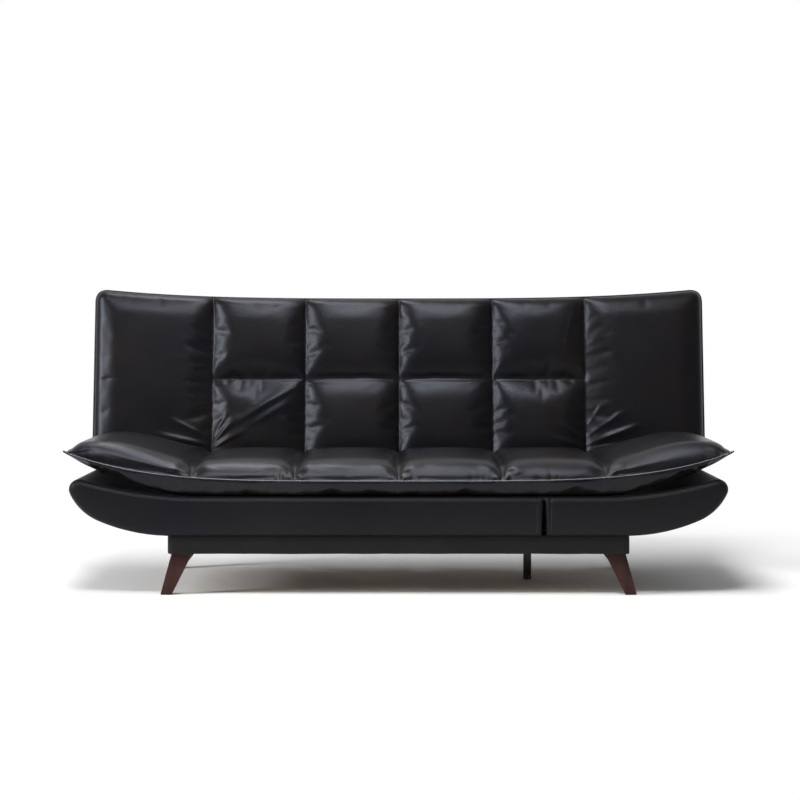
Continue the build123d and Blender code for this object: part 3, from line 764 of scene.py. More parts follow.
def panelHeight(x, up):
    # 1 on the flat of a panel, 0 in its sewn channels
    height = seamsHeight(x, back["channelReach"])
    if abs(x) < back["seams"][-1]:
        height *= seamProfile(abs(up - back["channel"]), back["channelReach"])
    return height


def humpBetween(value, lines):
    # 0 on the lines, 1 midway between two of them
    low, high = next((a, b) for a, b in zip(lines, lines[1:]) if value <= b or b == lines[-1])
    return math.sin(math.pi * min(1, max(0, (value - low) / (high - low))))


def panelDome(x, up):
    rows = (back["foot"], back["channel"], back["length"])
    if abs(x) > back["seams"][-1]:
        rows = (back["foot"], back["length"])
    return humpBetween(x, (-back["topHalf"], *back["seams"], back["topHalf"])) * humpBetween(up, rows)


def rolledStops(low, high, radius, count, between):
    # stops that crowd towards two rolled edges
    stops = [radius * (1 - math.cos(math.pi / 2 * k / count)) for k in range(count + 1)]
    return [low + stop for stop in stops] + between + [high - stop for stop in reversed(stops)]


def seamStops(line):
    return [line + aside for aside in (-0.012, -0.004, 0, 0.004, 0.012)]


seamKeys = [stop for line in back["seams"] for stop in seamStops(line)]


def borderEase(co):
    # calms the cloth towards the rolled border
    x, up = backFlat(co)
    inward = max(0, min(halfWidth(up) - abs(x), topEdge(x) - up, up - back["foot"]))
    share = min(1, inward / backPuff["easeReach"])
    return backPuff["edgeFreedom"] + (1 - backPuff["edgeFreedom"]) * share * share * (3 - 2 * share)


def buildBackCushion():
    acrossKeys = rolledStops(-back["topHalf"], back["topHalf"], back["roll"], 5, seamKeys)
    alongKeys = rolledStops(back["foot"], back["length"], back["roll"], 5, seamStops(back["channel"]))
    bm = gridOf(spacedStops(acrossKeys, back["step"]), spacedStops(alongKeys, back["step"]))
    innerVerts = secondLayer(bm)
    for v in bm.verts:
        gridX, gridUp = v.co.x, v.co.y
        x, up = onOutline(gridX, gridUp, back["foot"])
        out = back["face"] - back["channelDepth"] * (1 - panelHeight(x, up))
        out += back["dome"] * panelDome(x, up)
        share = rollProfile(edgeDistance(x, up, back["foot"]), back["roll"])
        out = back["edge"] + (out - back["edge"]) * share
        if v in innerVerts:
            low, high = back["hingePocket"]
            pocket = low < abs(x) < high and up < back["pocketTop"]
            out = out - back["pocketWall"] if pocket else back["inner"]
        v.co = backPoint(x, up, out)
    outward(bm)
    fixedOrder(bm)
    lining = {v.index for v in innerVerts}
    piece = keepMesh(bm, "backCushion", *onBack, 180)
    held = []
    for v in piece.data.vertices:
        flat, out = backFlat(v.co), backOut(v.co)
        onSeam = any(abs(flat.x - line) < 0.001 for line in back["seams"])
        onChannel = abs(flat.y - back["channel"]) < 0.0025 and abs(flat.x) <= back["seams"][-1] + 0.001
        if onSeam or onChannel or out < 0.004 or v.index in lining:
            held.append(v.index)
    swell(piece, held, backPuff, borderEase)
    subdivideOnce(piece)
    crease(piece, lambda co: backFlat(co) if backOut(co) > 0 else None, backFolds)
    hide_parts("back_pad")


# folds: start, end, width and height, on the face of the back
backFolds = [
    ((-0.572, 0.030), (-0.500, 0.105), 0.0065, 0.0042),
    ((-0.574, 0.012), (-0.478, 0.062), 0.0070, 0.0038),
    ((-0.572, 0.052), (-0.530, 0.120), 0.0055, 0.0030),
    ((-0.505, 0.085), (-0.320, 0.205), 0.0110, 0.0052),
    ((-0.455, 0.080), (-0.345, 0.150), 0.0090, 0.0024),
    ((-0.592, 0.022), (-0.740, 0.052), 0.0080, 0.0042),
    ((-0.592, 0.048), (-0.700, 0.098), 0.0070, 0.0030),
    ((-0.600, 0.004), (-0.780, 0.020), 0.0080, 0.0030),
    ((0.592, 0.028), (0.735, 0.078), -0.0085, 0.0056),
    ((0.590, 0.055), (0.690, 0.120), -0.0070, 0.0042),
    ((0.594, 0.008), (0.800, 0.034), -0.0085, 0.0046),
    ((0.590, 0.090), (0.640, 0.160), -0.0060, 0.0026),
    ((0.572, 0.040), (0.500, 0.090), 0.0065, 0.0028),
    ((0.572, 0.016), (0.480, 0.044), 0.0065, 0.0026),
    ((0.545, 0.455), (0.520, 0.330), 0.0080, 0.0018),
]
buildBackCushion()
print("back cushion made")


def outlinePath(foot, inset, step=0.012):
    # closed path of flat points round the back, from the middle of its foot
    half, radius = back["topHalf"], back["corner"]
    acrossHalf = spacedStops([0, half - radius, half], step)
    upHalf = spacedStops([foot, foot + radius, back["length"] - radius, back["length"]], step)
    right = [(x, foot) for x in acrossHalf] + [(half, up) for up in upHalf[1:]]
    right += [(x, back["length"]) for x in reversed(acrossHalf[:-1])]
    loop = right + [(-x, up) for x, up in reversed(right[1:-1])]
    return [onOutline(x, up, foot, inset) for x, up in loop]


def buildBackBoxing():
    # the strip that joins the front and rear panels, with room for the hinges below
    strip = {"inset": 0.0015, "footInset": 0.003, "rows": 8, "hollow": 0.002, "wall": 0.003}
    frontLoop = outlinePath(back["foot"] + strip["footInset"], strip["inset"])
    rearLoop = outlinePath(back["rearFoot"], strip["inset"])
    rings = []
    for row in range(strip["rows"] + 1):
        share = row / strip["rows"]
        out = back["edge"] - 0.002 + (back["rearEdge"] - back["edge"]) * share
        pull = strip["hollow"] * math.sin(math.pi * share)
        ring = []
        for (x, up), (rearX, rearUp) in zip(frontLoop, rearLoop):
            flatX, flatUp = x + (rearX - x) * share, up + (rearUp - up) * share
            middle = back["channel"]
            ring.append(backPoint(flatX * (1 - pull), middle + (flatUp - middle) * (1 - 2 * pull), out))
        rings.append(ring)
    bm = sleeve(rings)
    low, high = back["hingeNotch"]
    dropFaces(bm, lambda middle: low < abs(middle.x) < high and backFlat(middle).y < 0)
    thicken(bm, strip["wall"])
    piece = keepMesh(bm, "backBoxing", *onBack)
    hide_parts("back_left_border", "back_right_border", "back_top_border")


buildBackBoxing()


def buildBackPiping():
    piping = {"radius": 0.0042, "inset": 0.0005, "footInset": 0.004}
    front = outlinePath(back["foot"] + piping["footInset"], piping["inset"])
    rear = outlinePath(back["rearFoot"], piping["inset"])
    low, high = back["hingeNotch"]
    around = [(x, up) for x, up in rear if up > 0 or abs(x) > high]
    between = sorted((x, up) for x, up in rear if up < 0 and abs(x) < low)
    for name, flats, out, closed in (
        ("frontPiping", front, back["edge"], True),
        ("rearPiping", around, back["rearEdge"], False),
        ("rearPipingFoot", between, back["rearEdge"], False),
    ):
        path = [backPoint(x, up, out) for x, up in flats]
        tube(name, path, piping["radius"], *onBack, closed=closed)


buildBackPiping()


def buildBackRear():
    # the rear panel, notched at its foot over the hinges
    low, high = back["hingeNotch"]
    between = [-0.65, -high, -low, 0.0, low, high, 0.65]
    acrossKeys = rolledStops(-back["topHalf"], back["topHalf"], back["rearRoll"], 4, between)
    alongKeys = rolledStops(back["rearFoot"], back["length"], back["rearRoll"], 4, [back["notchTop"]])
    bm = gridOf(spacedStops(acrossKeys, 0.016), spacedStops(alongKeys, 0.016))
    for v in bm.verts:
        v.co.x = -v.co.x
    dropFaces(bm, lambda middle: low < abs(middle.x) < high and middle.y < back["notchTop"])
    innerVerts = secondLayer(bm)
    for v in bm.verts:
        x, up = onOutline(v.co.x, v.co.y, back["rearFoot"])
        if v in innerVerts:
            v.co = backPoint(x, up, back["rearEdge"] + 0.002)
            continue
        share = rollProfile(edgeDistance(x, up, back["rearFoot"]), back["rearRoll"])
        upShare = min(1, max(0, up / back["length"]))
        fullness = 0.003 * math.cos(math.pi * x / 2) * math.sin(math.pi * upShare)
        wave = 0.0016 * roughly(x * 5, up * 7, 3.1)
        rise = back["rear"] - back["rearEdge"] - fullness - wave
        v.co = backPoint(x, up, back["rearEdge"] + rise * share)
    outward(bm)
    fixedOrder(bm)
    piece = keepMesh(bm, "backRearPanel", *onBack, 60)
    subdivideOnce(piece)
    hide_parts("back_rear_pad")


buildBackRear()
print("back cover made")


# ---- seat cushion ----

seatLow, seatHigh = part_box("seat_cushion")
seat = {
    "front": seatLow.y,
    "rear": seatHigh.y - 0.004,
    "half": seatHigh.x,
    "crown": 0.394,
    "seam": 0.326,
    "under": seatLow.z,
    "wingStart": 0.560,
    "crownRise": 0.050,
    "tipDip": 0.002,
    "tipStart": 0.8,
    "tipLength": 0.2,
    "seamRise": 0.080,
    "seamPower": 4.4,
    "underRise": 0.112,
    "underPower": 1.8,
    "frontRoll": 0.110,
    "wingRoll": 0.055,
    "underRoll": 0.045,
    "rearRoll": 0.034,
    "tipRound": 0.044,
    "channelDepth": 0.027,
    "channelReach": 0.044,
    "dome": 0.012,
    "step": 0.0095,
}
seatPuff = {
    "quality": 5,
    "mass": 0.25,
    "stretch": 18,
    "bending": 2.0,
    "spareCloth": 0.016,
    "pressure": 6.0,
    "frames": 18,
    "cap": 0.011,
}


def wingShare(x):
    return max(0, (abs(x) - seat["wingStart"]) / (seat["half"] - seat["wingStart"]))


def crownAt(x):
    share = wingShare(x)
    rise = math.sin(math.pi / 2 * min(share / seat["tipStart"], 1)) ** 2
    dip = max(0, (share - seat["tipStart"]) / seat["tipLength"]) ** 2
    return seat["crown"] + seat["crownRise"] * rise - seat["tipDip"] * dip


def seamAt(x):
    return seat["seam"] + seat["seamRise"] * (abs(x) / seat["half"]) ** seat["seamPower"]


def underAt(x):
    return seat["under"] + seat["underRise"] * wingShare(x) ** seat["underPower"]


def bezier(points, t):
    a, b, c, d = map(Vector, points)
    s = 1 - t
    return a * s ** 3 + b * 3 * s * s * t + c * 3 * s * t * t + d * t ** 3


def seatSection(x, zone, t):
    # a point (y, z) of the cushion's section: zone names the stretch, t runs along it
    crown, seam, under = crownAt(x), seamAt(x), underAt(x)
    rearDrop = min(seat["rearRoll"], 0.6 * (crown - under))
    front, rear = seat["front"], seat["rear"]
    roll = seat["frontRoll"] + (seat["wingRoll"] - seat["frontRoll"]) * min(1, 1.3 * wingShare(x))
    if zone == "front":
        lift = (front - 0.002, seam + 0.62 * (crown - seam))
        return bezier(((front, seam), lift, (front + 0.45 * roll, crown), (front + roll, crown)), t)
    if zone == "top":
        return Vector((front + roll + t * (rear - seat["rearRoll"] - front - roll), crown))
    if zone == "rearRoll":
        angle = math.pi / 2 * t
        y = rear - seat["rearRoll"] * (1 - math.sin(angle))
        return Vector((y, crown - rearDrop * (1 - math.cos(angle))))
    if zone == "rearFace":
        return Vector((rear, crown - rearDrop + t * (under - crown + rearDrop)))
    if zone == "bottom":
        return Vector((rear + t * (front + seat["underRoll"] - rear), under))
    inner, outer = (front + seat["underRoll"], under), (front + 0.30 * seat["underRoll"], under)
    return bezier((inner, outer, (front + 0.001, seam - 0.35 * (seam - under)), (front, seam)), t)


seatZones = (("front", 15), ("top", 52), ("rearRoll", 6), ("rearFace", 7), ("bottom", 14), ("band", 8))
seatTopStops = sum(count for zone, count in seatZones[:3])


def seatLoopPoint(x, stop):
    for zone, count in seatZones:
        if stop <= count:
            return seatSection(x, zone, stop / count), zone
        stop -= count


def bandFlat(co):
    # x and height of a point on the front band below the seam
    if co.y < seat["front"] + 0.035 and co.z < seamAt(co.x) - 0.001:
        return Vector((co.x, co.z))
    return None


bandDarts = []
for side in (-1, 1):
    top = Vector((side * 0.834, 0.372))
    for run, width, height in (
        ((0.000, -0.034), 0.0022, -0.0040),
        ((-0.034, -0.026), 0.0050, 0.0030),
        ((0.034, -0.028), -0.0050, 0.0034),
        ((0.058, -0.020), -0.0060, 0.0022),
    ):
        bandDarts.append((top, top + Vector((side * run[0], run[1])), side * width, height))


def buildSeatCushion():
    half = seat["half"]
    acrossKeys = rolledStops(-half, half, seat["tipRound"], 6, seamKeys)
    loopStops = list(range(sum(count for zone, count in seatZones) + 1))
    bm = gridOf(spacedStops(acrossKeys, seat["step"]), loopStops)
    sewn = []
    for v in bm.verts:
        x, stop = v.co.x, round(v.co.y)
        (y, z), zone = seatLoopPoint(x, stop)
        seam = seamAt(x)
        if zone in ("front", "top", "rearRoll"):
            inward = 1 - seamsHeight(x, seat["channelReach"])
            fromSeam = min(1, stop / 5)
            z -= seat["channelDepth"] * inward * fromSeam
            if zone == "front":
                y += 0.5 * seat["channelDepth"] * inward * math.sin(math.pi * stop / 15)
            lines = (-half, *back["seams"], half)
            low, high = next((a, b) for a, b in zip(lines, lines[1:]) if x <= b)
            run = min(1, stop / seatTopStops)
            z += seat["dome"] * math.sin(math.pi * (x - low) / (high - low)) * math.sin(math.pi * run)
        tip = rollProfile(half - abs(x), seat["tipRound"])
        v.co = Vector((x, y, seam + (z - seam) * tip))
    bmesh.ops.remove_doubles(bm, verts=bm.verts, dist=2e-5)
    bmesh.ops.holes_fill(bm, edges=[e for e in bm.edges if e.is_boundary], sides=0)
    outward(bm)
    piece = keepMesh(bm, "seatCushion", *onSeat, 180)
    for v in piece.data.vertices:
        x, y, z = v.co
        onSeam = any(abs(x - line) < 0.001 for line in back["seams"]) and z > seamAt(x)
        onWelt = abs(y - seat["front"]) < 0.001 and abs(z - seamAt(x)) < 0.001
        atEnd = half - abs(x) < 0.002
        if onSeam or onWelt or atEnd or z < underAt(x) + 0.002 or y > seat["rear"] - 0.002:
            sewn.append(v.index)
    swell(piece, sewn, seatPuff)
    subdivideOnce(piece)
    pucker(piece)
    crease(piece, bandFlat, bandDarts)
    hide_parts("seat_cushion")


def pucker(piece):
    # short uneven gathers that rise from the front seam
    gathers = {"height": 0.0030, "reach": 0.017, "perMetre": 30, "start": 0.0005, "end": 0.06, "ease": 0.004}
    normals = [v.normal.copy() for v in piece.data.vertices]
    for v, normal in zip(piece.data.vertices, normals):
        x, y, z = v.co
        above = z - seamAt(x)
        if above < gathers["start"] or above > gathers["end"] or y > seat["front"] + gathers["end"]:
            continue
        phase = x * gathers["perMetre"] + 3.2 * roughly(x * 7, 0.3, 0)
        wave = max(0, math.sin(2 * math.pi * phase)) ** 2
        strength = max(0, 0.35 + 1.3 * roughly(x * 11, 2.7, 0))
        tall = gathers["reach"] * (0.7 + 0.9 * abs(roughly(x * 23, 5.1, 0)))
        fade = math.exp(-((above / tall) ** 2)) * min(1, above / gathers["ease"])
        v.co += normal * gathers["height"] * wave * strength * fade


def buildSeatWelt():
    # the raised edge seam and its pale thread
    welt = {"radius": 0.0026, "proud": 0.0016, "ear": 0.006}
    half = seat["half"]
    stops = spacedStops([-half + 0.004, half - 0.004], 0.012)
    front = [Vector((x, seat["front"] - welt["proud"], seamAt(x))) for x in stops]
    tipZ = seamAt(half)
    rightEar = [
        Vector((half + welt["ear"], seat["front"] - 0.003, tipZ + 0.005)),
        Vector((half + 0.003, seat["front"] + 0.02, tipZ + 0.001)),
    ]
    sideStops = spacedStops([seat["front"] + 0.04, seat["rear"] - 0.01], 0.02)
    rightSide = [Vector((half + 0.001, y, tipZ)) for y in sideStops]
    edge = mirrored(rightEar) + front + rightEar
    path = mirrored(rightSide) + edge + rightSide
    tube("seatWelt", path, welt["radius"], *onSeat)
    thread = {"pitch": 0.0072, "length": 0.0062, "width": 0.0016, "height": 0.0012, "lift": 0.0}
    rows = [p + Vector((0, -0.0012, 0.0020)) for p in edge]
    stitchRow("seatEdgeThread", rows, lambda p: Vector((0, -0.8, 0.6)), thread, paleThread, "base", "leather")


buildSeatCushion()
buildSeatWelt()
print("seat cushion made")


# ---- upholstered seat base ----

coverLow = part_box("base_front_panel")[0]
tier = {
    "front": coverLow.y,
    "rear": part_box("base_rear_panel")[1].y,
    "half": 0.924,
    "low": coverLow.z,
    "top": 0.283,
    "keelHalf": 0.640,
    "bilgeDrop": 0.078,
    "bilgeShare": 0.36,
    "belly": 0.119,
    "rimInset": 0.031,
    "rimRise": 0.047,
    "wingStart": 0.560,
    "edge": 0.014,
    "crown": 0.005,
    "slotX": 0.409,
    "slotHalf": 0.0050,
    "slotLow": 0.176,
    "slotTop": 0.271,
    "placketHalf": 0.0175,
    "lipRadius": 0.008,
}


def tierHalfOutline(count=14):
    # right half of the boat-shaped profile, from the middle of the keel to the middle of the deck
    low, half = tier["low"], tier["half"]
    keel = Vector((tier["keelHalf"], low))
    bilge = Vector((half - tier["bilgeDrop"], low + tier["bilgeShare"] * tier["belly"]))
    tip = Vector((half, low + tier["belly"]))
    rim = Vector((half - tier["rimInset"], tier["top"] + tier["rimRise"]))
    deck = Vector((tier["wingStart"], tier["top"]))
    ahead = Vector((1, 0))
    path = [Vector((0, low))] + tangentArc(keel, ahead, bilge, count)
    ahead = arcEnd(keel, ahead, bilge)
    path += tangentArc(bilge, ahead, tip, count)[1:]
    ahead = arcEnd(bilge, ahead, tip)
    path += tangentArc(tip, ahead, rim, count // 2)[1:]
    path += list(reversed(tangentArc(deck, Vector((1, 0)), rim, count)))[1:]
    return path + [Vector((0, tier["top"]))]


tierPath = tierHalfOutline()
tierLoop = tierPath + mirrored(tierPath[1:-1])
tipIndex = max(range(len(tierPath)), key=lambda k: tierPath[k].x)
lowerPath = tierPath[: tipIndex + 1]
upperPath = list(reversed(tierPath[tipIndex:]))
pathArray = np.array([tuple(p) for p in tierPath])


def heightOn(path, x):
    xs = [p.x for p in path]
    return float(np.interp(abs(x), xs, [p.y for p in path]))


def tierEdgeDistance(x, z):
    # distance of a front point to the profile
    p = np.array((abs(x), z))
    a, b = pathArray[:-1], pathArray[1:]
    run = b - a
    share = np.clip(((p - a) * run).sum(1) / (run * run).sum(1), 0, 1)
    return float(np.sqrt((((a + run * share[:, None]) - p) ** 2).sum(1)).min())


def slotDistance(x, z):
    # distance outside the slit, which narrows to its gathered top
    taper = 1 - 0.55 * max(0, min(1, (z - tier["slotLow"]) / (tier["slotTop"] - tier["slotLow"]))) ** 3
    aside = abs(x - tier["slotX"]) - tier["slotHalf"] * taper
    above = max(z - tier["slotTop"], tier["slotLow"] - z)
    if above <= 0:
        return aside
    return math.hypot(max(0, aside), above)


def tierFrontY(x, z):
    # how far forward the padded front lies
    edge = tierEdgeDistance(x, z)
    share = rollProfile(edge, tier["edge"])
    crown = tier["crown"] * math.sin(math.pi / 2 * min(1, edge / 0.055))
    y = tier["front"] + tier["edge"] * (1 - share) + 0.004 - crown
    y += 0.010 * (1 - rollProfile(max(0, slotDistance(x, z)), tier["lipRadius"]))
    seamAside = abs(abs(x - tier["slotX"]) - tier["placketHalf"])
    y += 0.0016 * max(0, 1 - seamAside / 0.0035)
    return y + 0.0012 * roughly(x * 4, z * 9, 0.4) * share


def buildBaseFront():
    half = tier["half"]
    tips = [half * math.sin(math.pi / 2 * k / 14) for k in range(15)]
    outer = [x for x in tips if x > tier["keelHalf"] + 0.02]
    slotX = tier["slotX"]
    aside = (0.0, 0.0025, 0.005, 0.007, 0.010, 0.0135, 0.0155, 0.0175, 0.0195, 0.0215, 0.030)
    beside = [slotX + side * stop for side in (-1, 1) for stop in aside]
    keel = [-tier["keelHalf"], 0.0, tier["keelHalf"]]
    acrossKeys = sorted(set([-x for x in outer] + keel + beside + outer))
    rows = 14
    alongStops = [0.5 - 0.5 * math.cos(math.pi * k / rows) for k in range(rows + 1)]
    bm = gridOf(spacedStops(acrossKeys, 0.014), alongStops)
    for v in bm.verts:
        x, share = v.co.x, v.co.y
        low, high = heightOn(lowerPath, x), heightOn(upperPath, x)
        v.co = Vector((x, low + share * (high - low), 0))
    dropFaces(bm, lambda middle: slotDistance(*middle.xy) < -0.0005)
    innerVerts = secondLayer(bm)
    for v in bm.verts:
        x, z = v.co.x, v.co.y
        if v in innerVerts:
            v.co = Vector((x, tier["front"] + tier["edge"] + 0.0008, z))
        else:
            v.co = Vector((x, tierFrontY(x, z), z))
    outward(bm)
    fixedOrder(bm)
    piece = keepMesh(bm, "baseFrontPanel", *onBase, 75)
    subdivideOnce(piece)
    crease(piece, lambda co: Vector((co.x, co.z)) if co.y < tier["front"] + 0.012 else None, slotFolds)
    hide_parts("base_front_panel", "slot_placket")


slotX, slotTop = tier["slotX"], tier["slotTop"]
slotFolds = [
    ((slotX + 0.006, slotTop + 0.001), (slotX + 0.044, slotTop - 0.022), 0.0040, 0.0026),
    ((slotX + 0.007, slotTop - 0.008), (slotX + 0.040, slotTop - 0.040), 0.0040, 0.0020),
    ((slotX - 0.006, slotTop), (slotX - 0.026, slotTop - 0.004), 0.0035, 0.0022),
    ((slotX + 0.002, slotTop + 0.002), (slotX + 0.012, slotTop + 0.010), 0.0028, 0.0016),
]


def buildSlotLining():
    # dark cloth round the mouth of the hand slot, behind the slit
    low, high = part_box("slot_liner")
    mouth = {"x": (low.x + 0.003, high.x - 0.003), "z": (low.z + 0.003, high.z - 0.003), "margin": 0.012}
    xs = [low.x - mouth["margin"], *mouth["x"], high.x + mouth["margin"]]
    zs = [tier["low"] + 0.002, *mouth["z"], tier["top"] - 0.002]
    bm = gridOf(xs, zs)
    dropFaces(bm, lambda middle: xs[1] < middle.x < xs[2] and zs[1] < middle.y < zs[2])
    for v in bm.verts:
        v.co = Vector((v.co.x, tier["front"] + tier["edge"] - 0.0002, v.co.y))
    bmesh.ops.solidify(bm, geom=list(bm.faces), thickness=0.0008)
    outward(bm)
    keepMesh(bm, "slotLining", liningCloth, "base", "lining_fabric", 40)


def buildBaseStitches():
    # two dashed rows along the rim, and one on each side of the hand slot
    thread = {"pitch": 0.0068, "length": 0.0048, "width": 0.0010, "height": 0.0008, "lift": 0.0002}
    forward = Vector((0, -1, 0))
    rows = []
    for drop in (0.0075, 0.0125):
        xs = spacedStops([-0.905, 0.905], 0.006)
        rows.append([(x, heightOn(upperPath, x) - drop) for x in xs])
    for side in (-1, 1):
        x = slotX + side * (tier["placketHalf"] + 0.003)
        rows.append([(x, z) for z in spacedStops([tier["low"] + 0.008, slotTop - 0.004], 0.006)])
    for number, row in enumerate(rows):
        path = [Vector((x, tierFrontY(x, z), z)) for x, z in row]
        name = f"baseStitches{number + 1}"
        stitchRow(name, path, lambda place: forward, thread, darkThread, "base", "leather")


def screwSpots():
    # middles of the bracket screws
    bm = bmesh.new()
    bm.from_mesh(nodes["bracket_screws"].data)
    bmesh.ops.remove_doubles(bm, verts=bm.verts, dist=1e-5)
    seen, spots = set(), []
    for first in bm.verts:
        if first in seen:
            continue
        seen.add(first)
        group = [first]
        for v in group:
            fresh = [e.other_vert(v) for e in v.link_edges if e.other_vert(v) not in seen]
            seen.update(fresh)
            group += fresh
        spots.append(sum((v.co for v in group), Vector()) / len(group))
    bm.free()
    return spots


def buildBaseBand():
    # top, ends and underside of the seat base, open below where the dust cover fits
    band = {"wall": 0.004, "rows": 18, "step": 0.03}
    fine = []
    for a, b in zip(tierLoop, tierLoop[1:] + tierLoop[:1]):
        fine += stepped(a, b, band["step"])
    start = tier["front"] + tier["edge"] + 0.002
    stride = (tier["rear"] - start) / band["rows"]
    bm = sleeve([[(p.x, start + row * stride, p.y) for p in fine] for row in range(band["rows"] + 1)])
    dustLow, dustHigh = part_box("dust_cover")

    def underSprings(middle):
        inside = dustLow.x < middle.x < dustHigh.x and dustLow.y < middle.y < dustHigh.y
        return inside and middle.z < tier["low"] + 0.001

    dropFaces(bm, underSprings)
    thicken(bm, band["wall"])
    piece = keepMesh(bm, "baseBand", *onBase)
    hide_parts("base_band")


def buildBaseRear():
    # flat rear panel, with holes for the bracket screws
    panel = {"wall": 0.003, "hole": 0.0045}
    holes = [Vector((s.x, s.z)) for s in screwSpots()]
    bm = bmesh.new()
    edges = ringEdges(bm, [bm.verts.new((p.x, p.y, 0)) for p in tierLoop])
    for spot in holes:
        ring = []
        for k in range(12):
            angle = k * math.pi / 6
            x, z = spot.x + panel["hole"] * math.cos(angle), spot.y + panel["hole"] * math.sin(angle)
            ring.append(bm.verts.new((x, z, 0)))
        edges += ringEdges(bm, ring)
    bmesh.ops.triangle_fill(bm, edges=edges, use_beauty=True)
    dropFaces(bm, lambda middle: any((middle.xy - h).length < panel["hole"] * 0.9 for h in holes))
    innerVerts = secondLayer(bm)
    for v in bm.verts:
        v.co = Vector((v.co.x, tier["rear"] - (panel["wall"] if v in innerVerts else 0), v.co.y))
    outward(bm)
    fixedOrder(bm)
    piece = keepMesh(bm, "baseRearPanel", *onBase, 40)
    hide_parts("base_rear_panel")


buildBaseFront()
buildSlotLining()
buildBaseStitches()
buildBaseBand()
buildBaseRear()
print("seat base made")


# ---- plinth ----

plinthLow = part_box("plinth_front_wrap")[0]
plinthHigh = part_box("plinth_rear_wrap")[1]
plinth = {
    "corner": 0.018,
    "wall": 0.0028,
    "round": 0.006,
    "step": 0.012,
    "wave": 0.0018,
    "seamX": 0.414,
    "seamDepth": 0.0008,
    "seamReach": 0.012,
    "softness": 0.15,
    "uneven": 0.0003,
    "hang": 0.001,
}


def roundedRectangle(low, high, radius, step):
    # closed path round a rectangle, straight sides cut at even steps
    spots = []
    corners = ((high.x - radius, low.y + radius), (high.x - radius, high.y - radius))
    corners += ((low.x + radius, high.y - radius), (low.x + radius, low.y + radius))
    for turn, (x, y) in enumerate(corners):
        arc = []
        for k in range(7):
            angle = math.radians(90 * turn - 90 + 15 * k)
            arc.append(Vector((x + radius * math.cos(angle), y + radius * math.sin(angle))))
        if spots:
            spots += stepped(spots[-1], arc[0], step)[1:]
        spots += arc
    return spots + stepped(spots[-1], spots[0], step)[1:]


def buildPlinthWrap():
    # cloth stretched round the plinth, soft at its edges, with one upright seam in front
    loop = roundedRectangle(plinthLow, plinthHigh, plinth["corner"], plinth["step"])
    height = plinthHigh.z - plinthLow.z
    rings = []
    for share in (0, 0.03, 0.08, 0.16, 0.35, 0.5, 0.65, 0.84, 0.92, 0.97, 1):
        toEdge = min(share, 1 - share) * height
        inset = plinth["round"] * plinth["softness"] * (1 - rollProfile(toEdge, plinth["round"]))
        ring = []
        for before, here, after in zip(loop[-1:] + loop[:-1], loop, loop[1:] + loop[:1]):
            run = (after - before).normalized()
            fromSeam = abs(here.x - plinth["seamX"]) if here.y < 0 else 1
            pull = inset + plinth["seamDepth"] * max(0, 1 - fromSeam / plinth["seamReach"])
            pull += plinth["uneven"] * (1 + roughly(here.x * 6, here.y * 6, share * 2))
            z = plinthLow.z + share * height
            if share < 0.2:
                z -= plinth["hang"] + plinth["wave"] * abs(roughly(here.x * 8, here.y * 8, 1.7))
            ring.append(Vector((here.x - run.y * pull, here.y + run.x * pull, z)))
        rings.append(ring)
    bm = sleeve(rings)
    thicken(bm, plinth["wall"])
    piece = keepMesh(bm, "plinthWrap", wrapCloth, "base", "wrap_fabric")
    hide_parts("plinth_front_wrap", "plinth_rear_wrap", "plinth_end_wraps")


buildPlinthWrap()


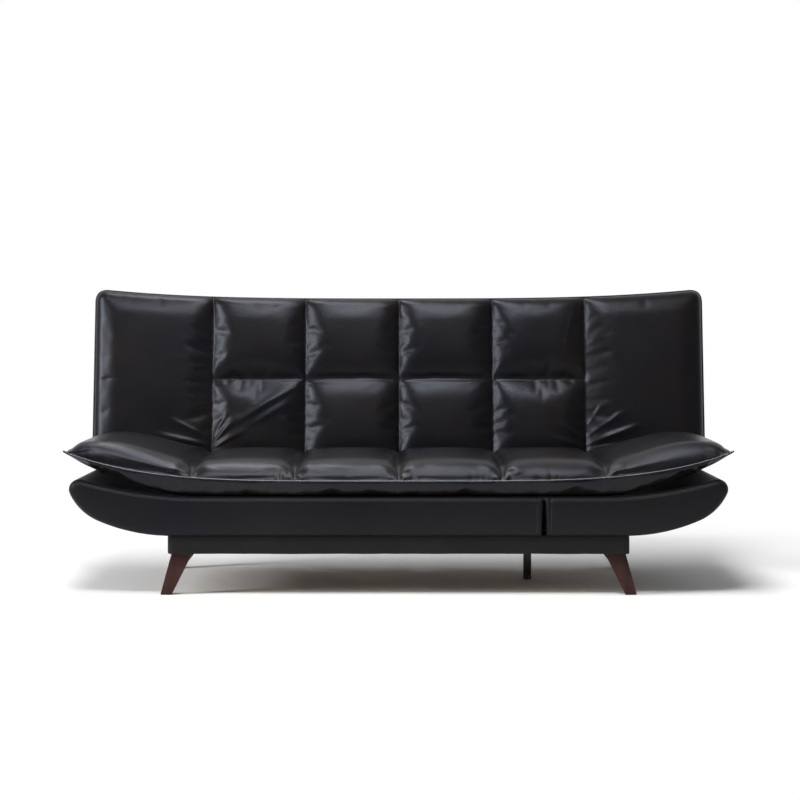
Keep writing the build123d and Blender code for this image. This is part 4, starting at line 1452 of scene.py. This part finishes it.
def buildDustCover():
    # thin cloth under the springs, sagging a little between its staples
    low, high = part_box("dust_cover")
    sag, thickness = 0.0035, 0.0010
    inset, step = 0.001, 0.03
    acrossStops = spacedStops([low.x + inset, high.x - inset], step)
    bm = gridOf(acrossStops, spacedStops([low.y + inset, high.y - inset], step))
    for v in bm.verts:
        acrossShare = (v.co.x - low.x) / (high.x - low.x)
        alongShare = (v.co.y - low.y) / (high.y - low.y)
        drop = math.sin(math.pi * acrossShare) * math.sin(math.pi * alongShare)
        v.co.z = high.z - sag * drop ** 0.6 + 0.0008 * roughly(v.co.x * 14, v.co.y * 14, 0) * drop
    bmesh.ops.solidify(bm, geom=list(bm.faces), thickness=thickness)
    outward(bm)
    piece = keepMesh(bm, "dustCover", liningCloth, "base", "lining_fabric")
    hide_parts("dust_cover")


buildDustCover()
softCopy("slot_liner", "slotPocket", liningCloth, "lining_fabric", 0.02, 0.0003)
softCopy("deck_felt", "deckFelt", liningCloth, "lining_fabric", 0.06, 0.0006)
softCopy("back_webbing", "backWebbing", liningCloth, "lining_fabric", 0.06, 0.0004)
print("plinth and linings made")


# ---- wood and metal ----

easedPieces = (
    (legWood, "stained_wood", 0.0012, "front_left_leg front_right_leg rear_left_leg rear_right_leg"),
    (blackSteel, "black_steel", 0.0006, "support_leg support_plate leg_plates"),
    (blackSteel, "black_steel", 0.0007, "left_seat_bracket right_seat_bracket"),
    (blackPlastic, "black_plastic", 0.0008, "support_foot leg_glides"),
    (zincSteel, "zinc_steel", 0.0005, "left_ratchet_arm right_ratchet_arm left_pawl right_pawl"),
    (zincSteel, "zinc_steel", 0.0004, "left_pivot_pin right_pivot_pin left_pawl_pin right_pawl_pin"),
    (zincSteel, "zinc_steel", 0.0003, "left_pivot_clip right_pivot_clip arm_bolts bracket_screws"),
    (frameWood, "frame_wood", 0.0015, "base_front_rail base_rear_rail base_left_rail base_right_rail"),
    (frameWood, "frame_wood", 0.0015, "base_cross_rails corner_blocks"),
)
for material, slotName, ease, names in easedPieces:
    for name in names.split():
        head, *rest = name.split("_")
        pieceName = head + "".join(part.capitalize() for part in rest) + "Eased"
        easedCopy(name, pieceName, material, slotName, ease)

hiddenFinish = {"seat_springs": zincSteel, "spring_clips": blackPlastic, "leg_bolts": zincSteel}
for name, node in nodes.items():
    node.data.materials.clear()
    node.data.materials.append(hiddenFinish.get(name, frameWood))
print("wood and metal made")
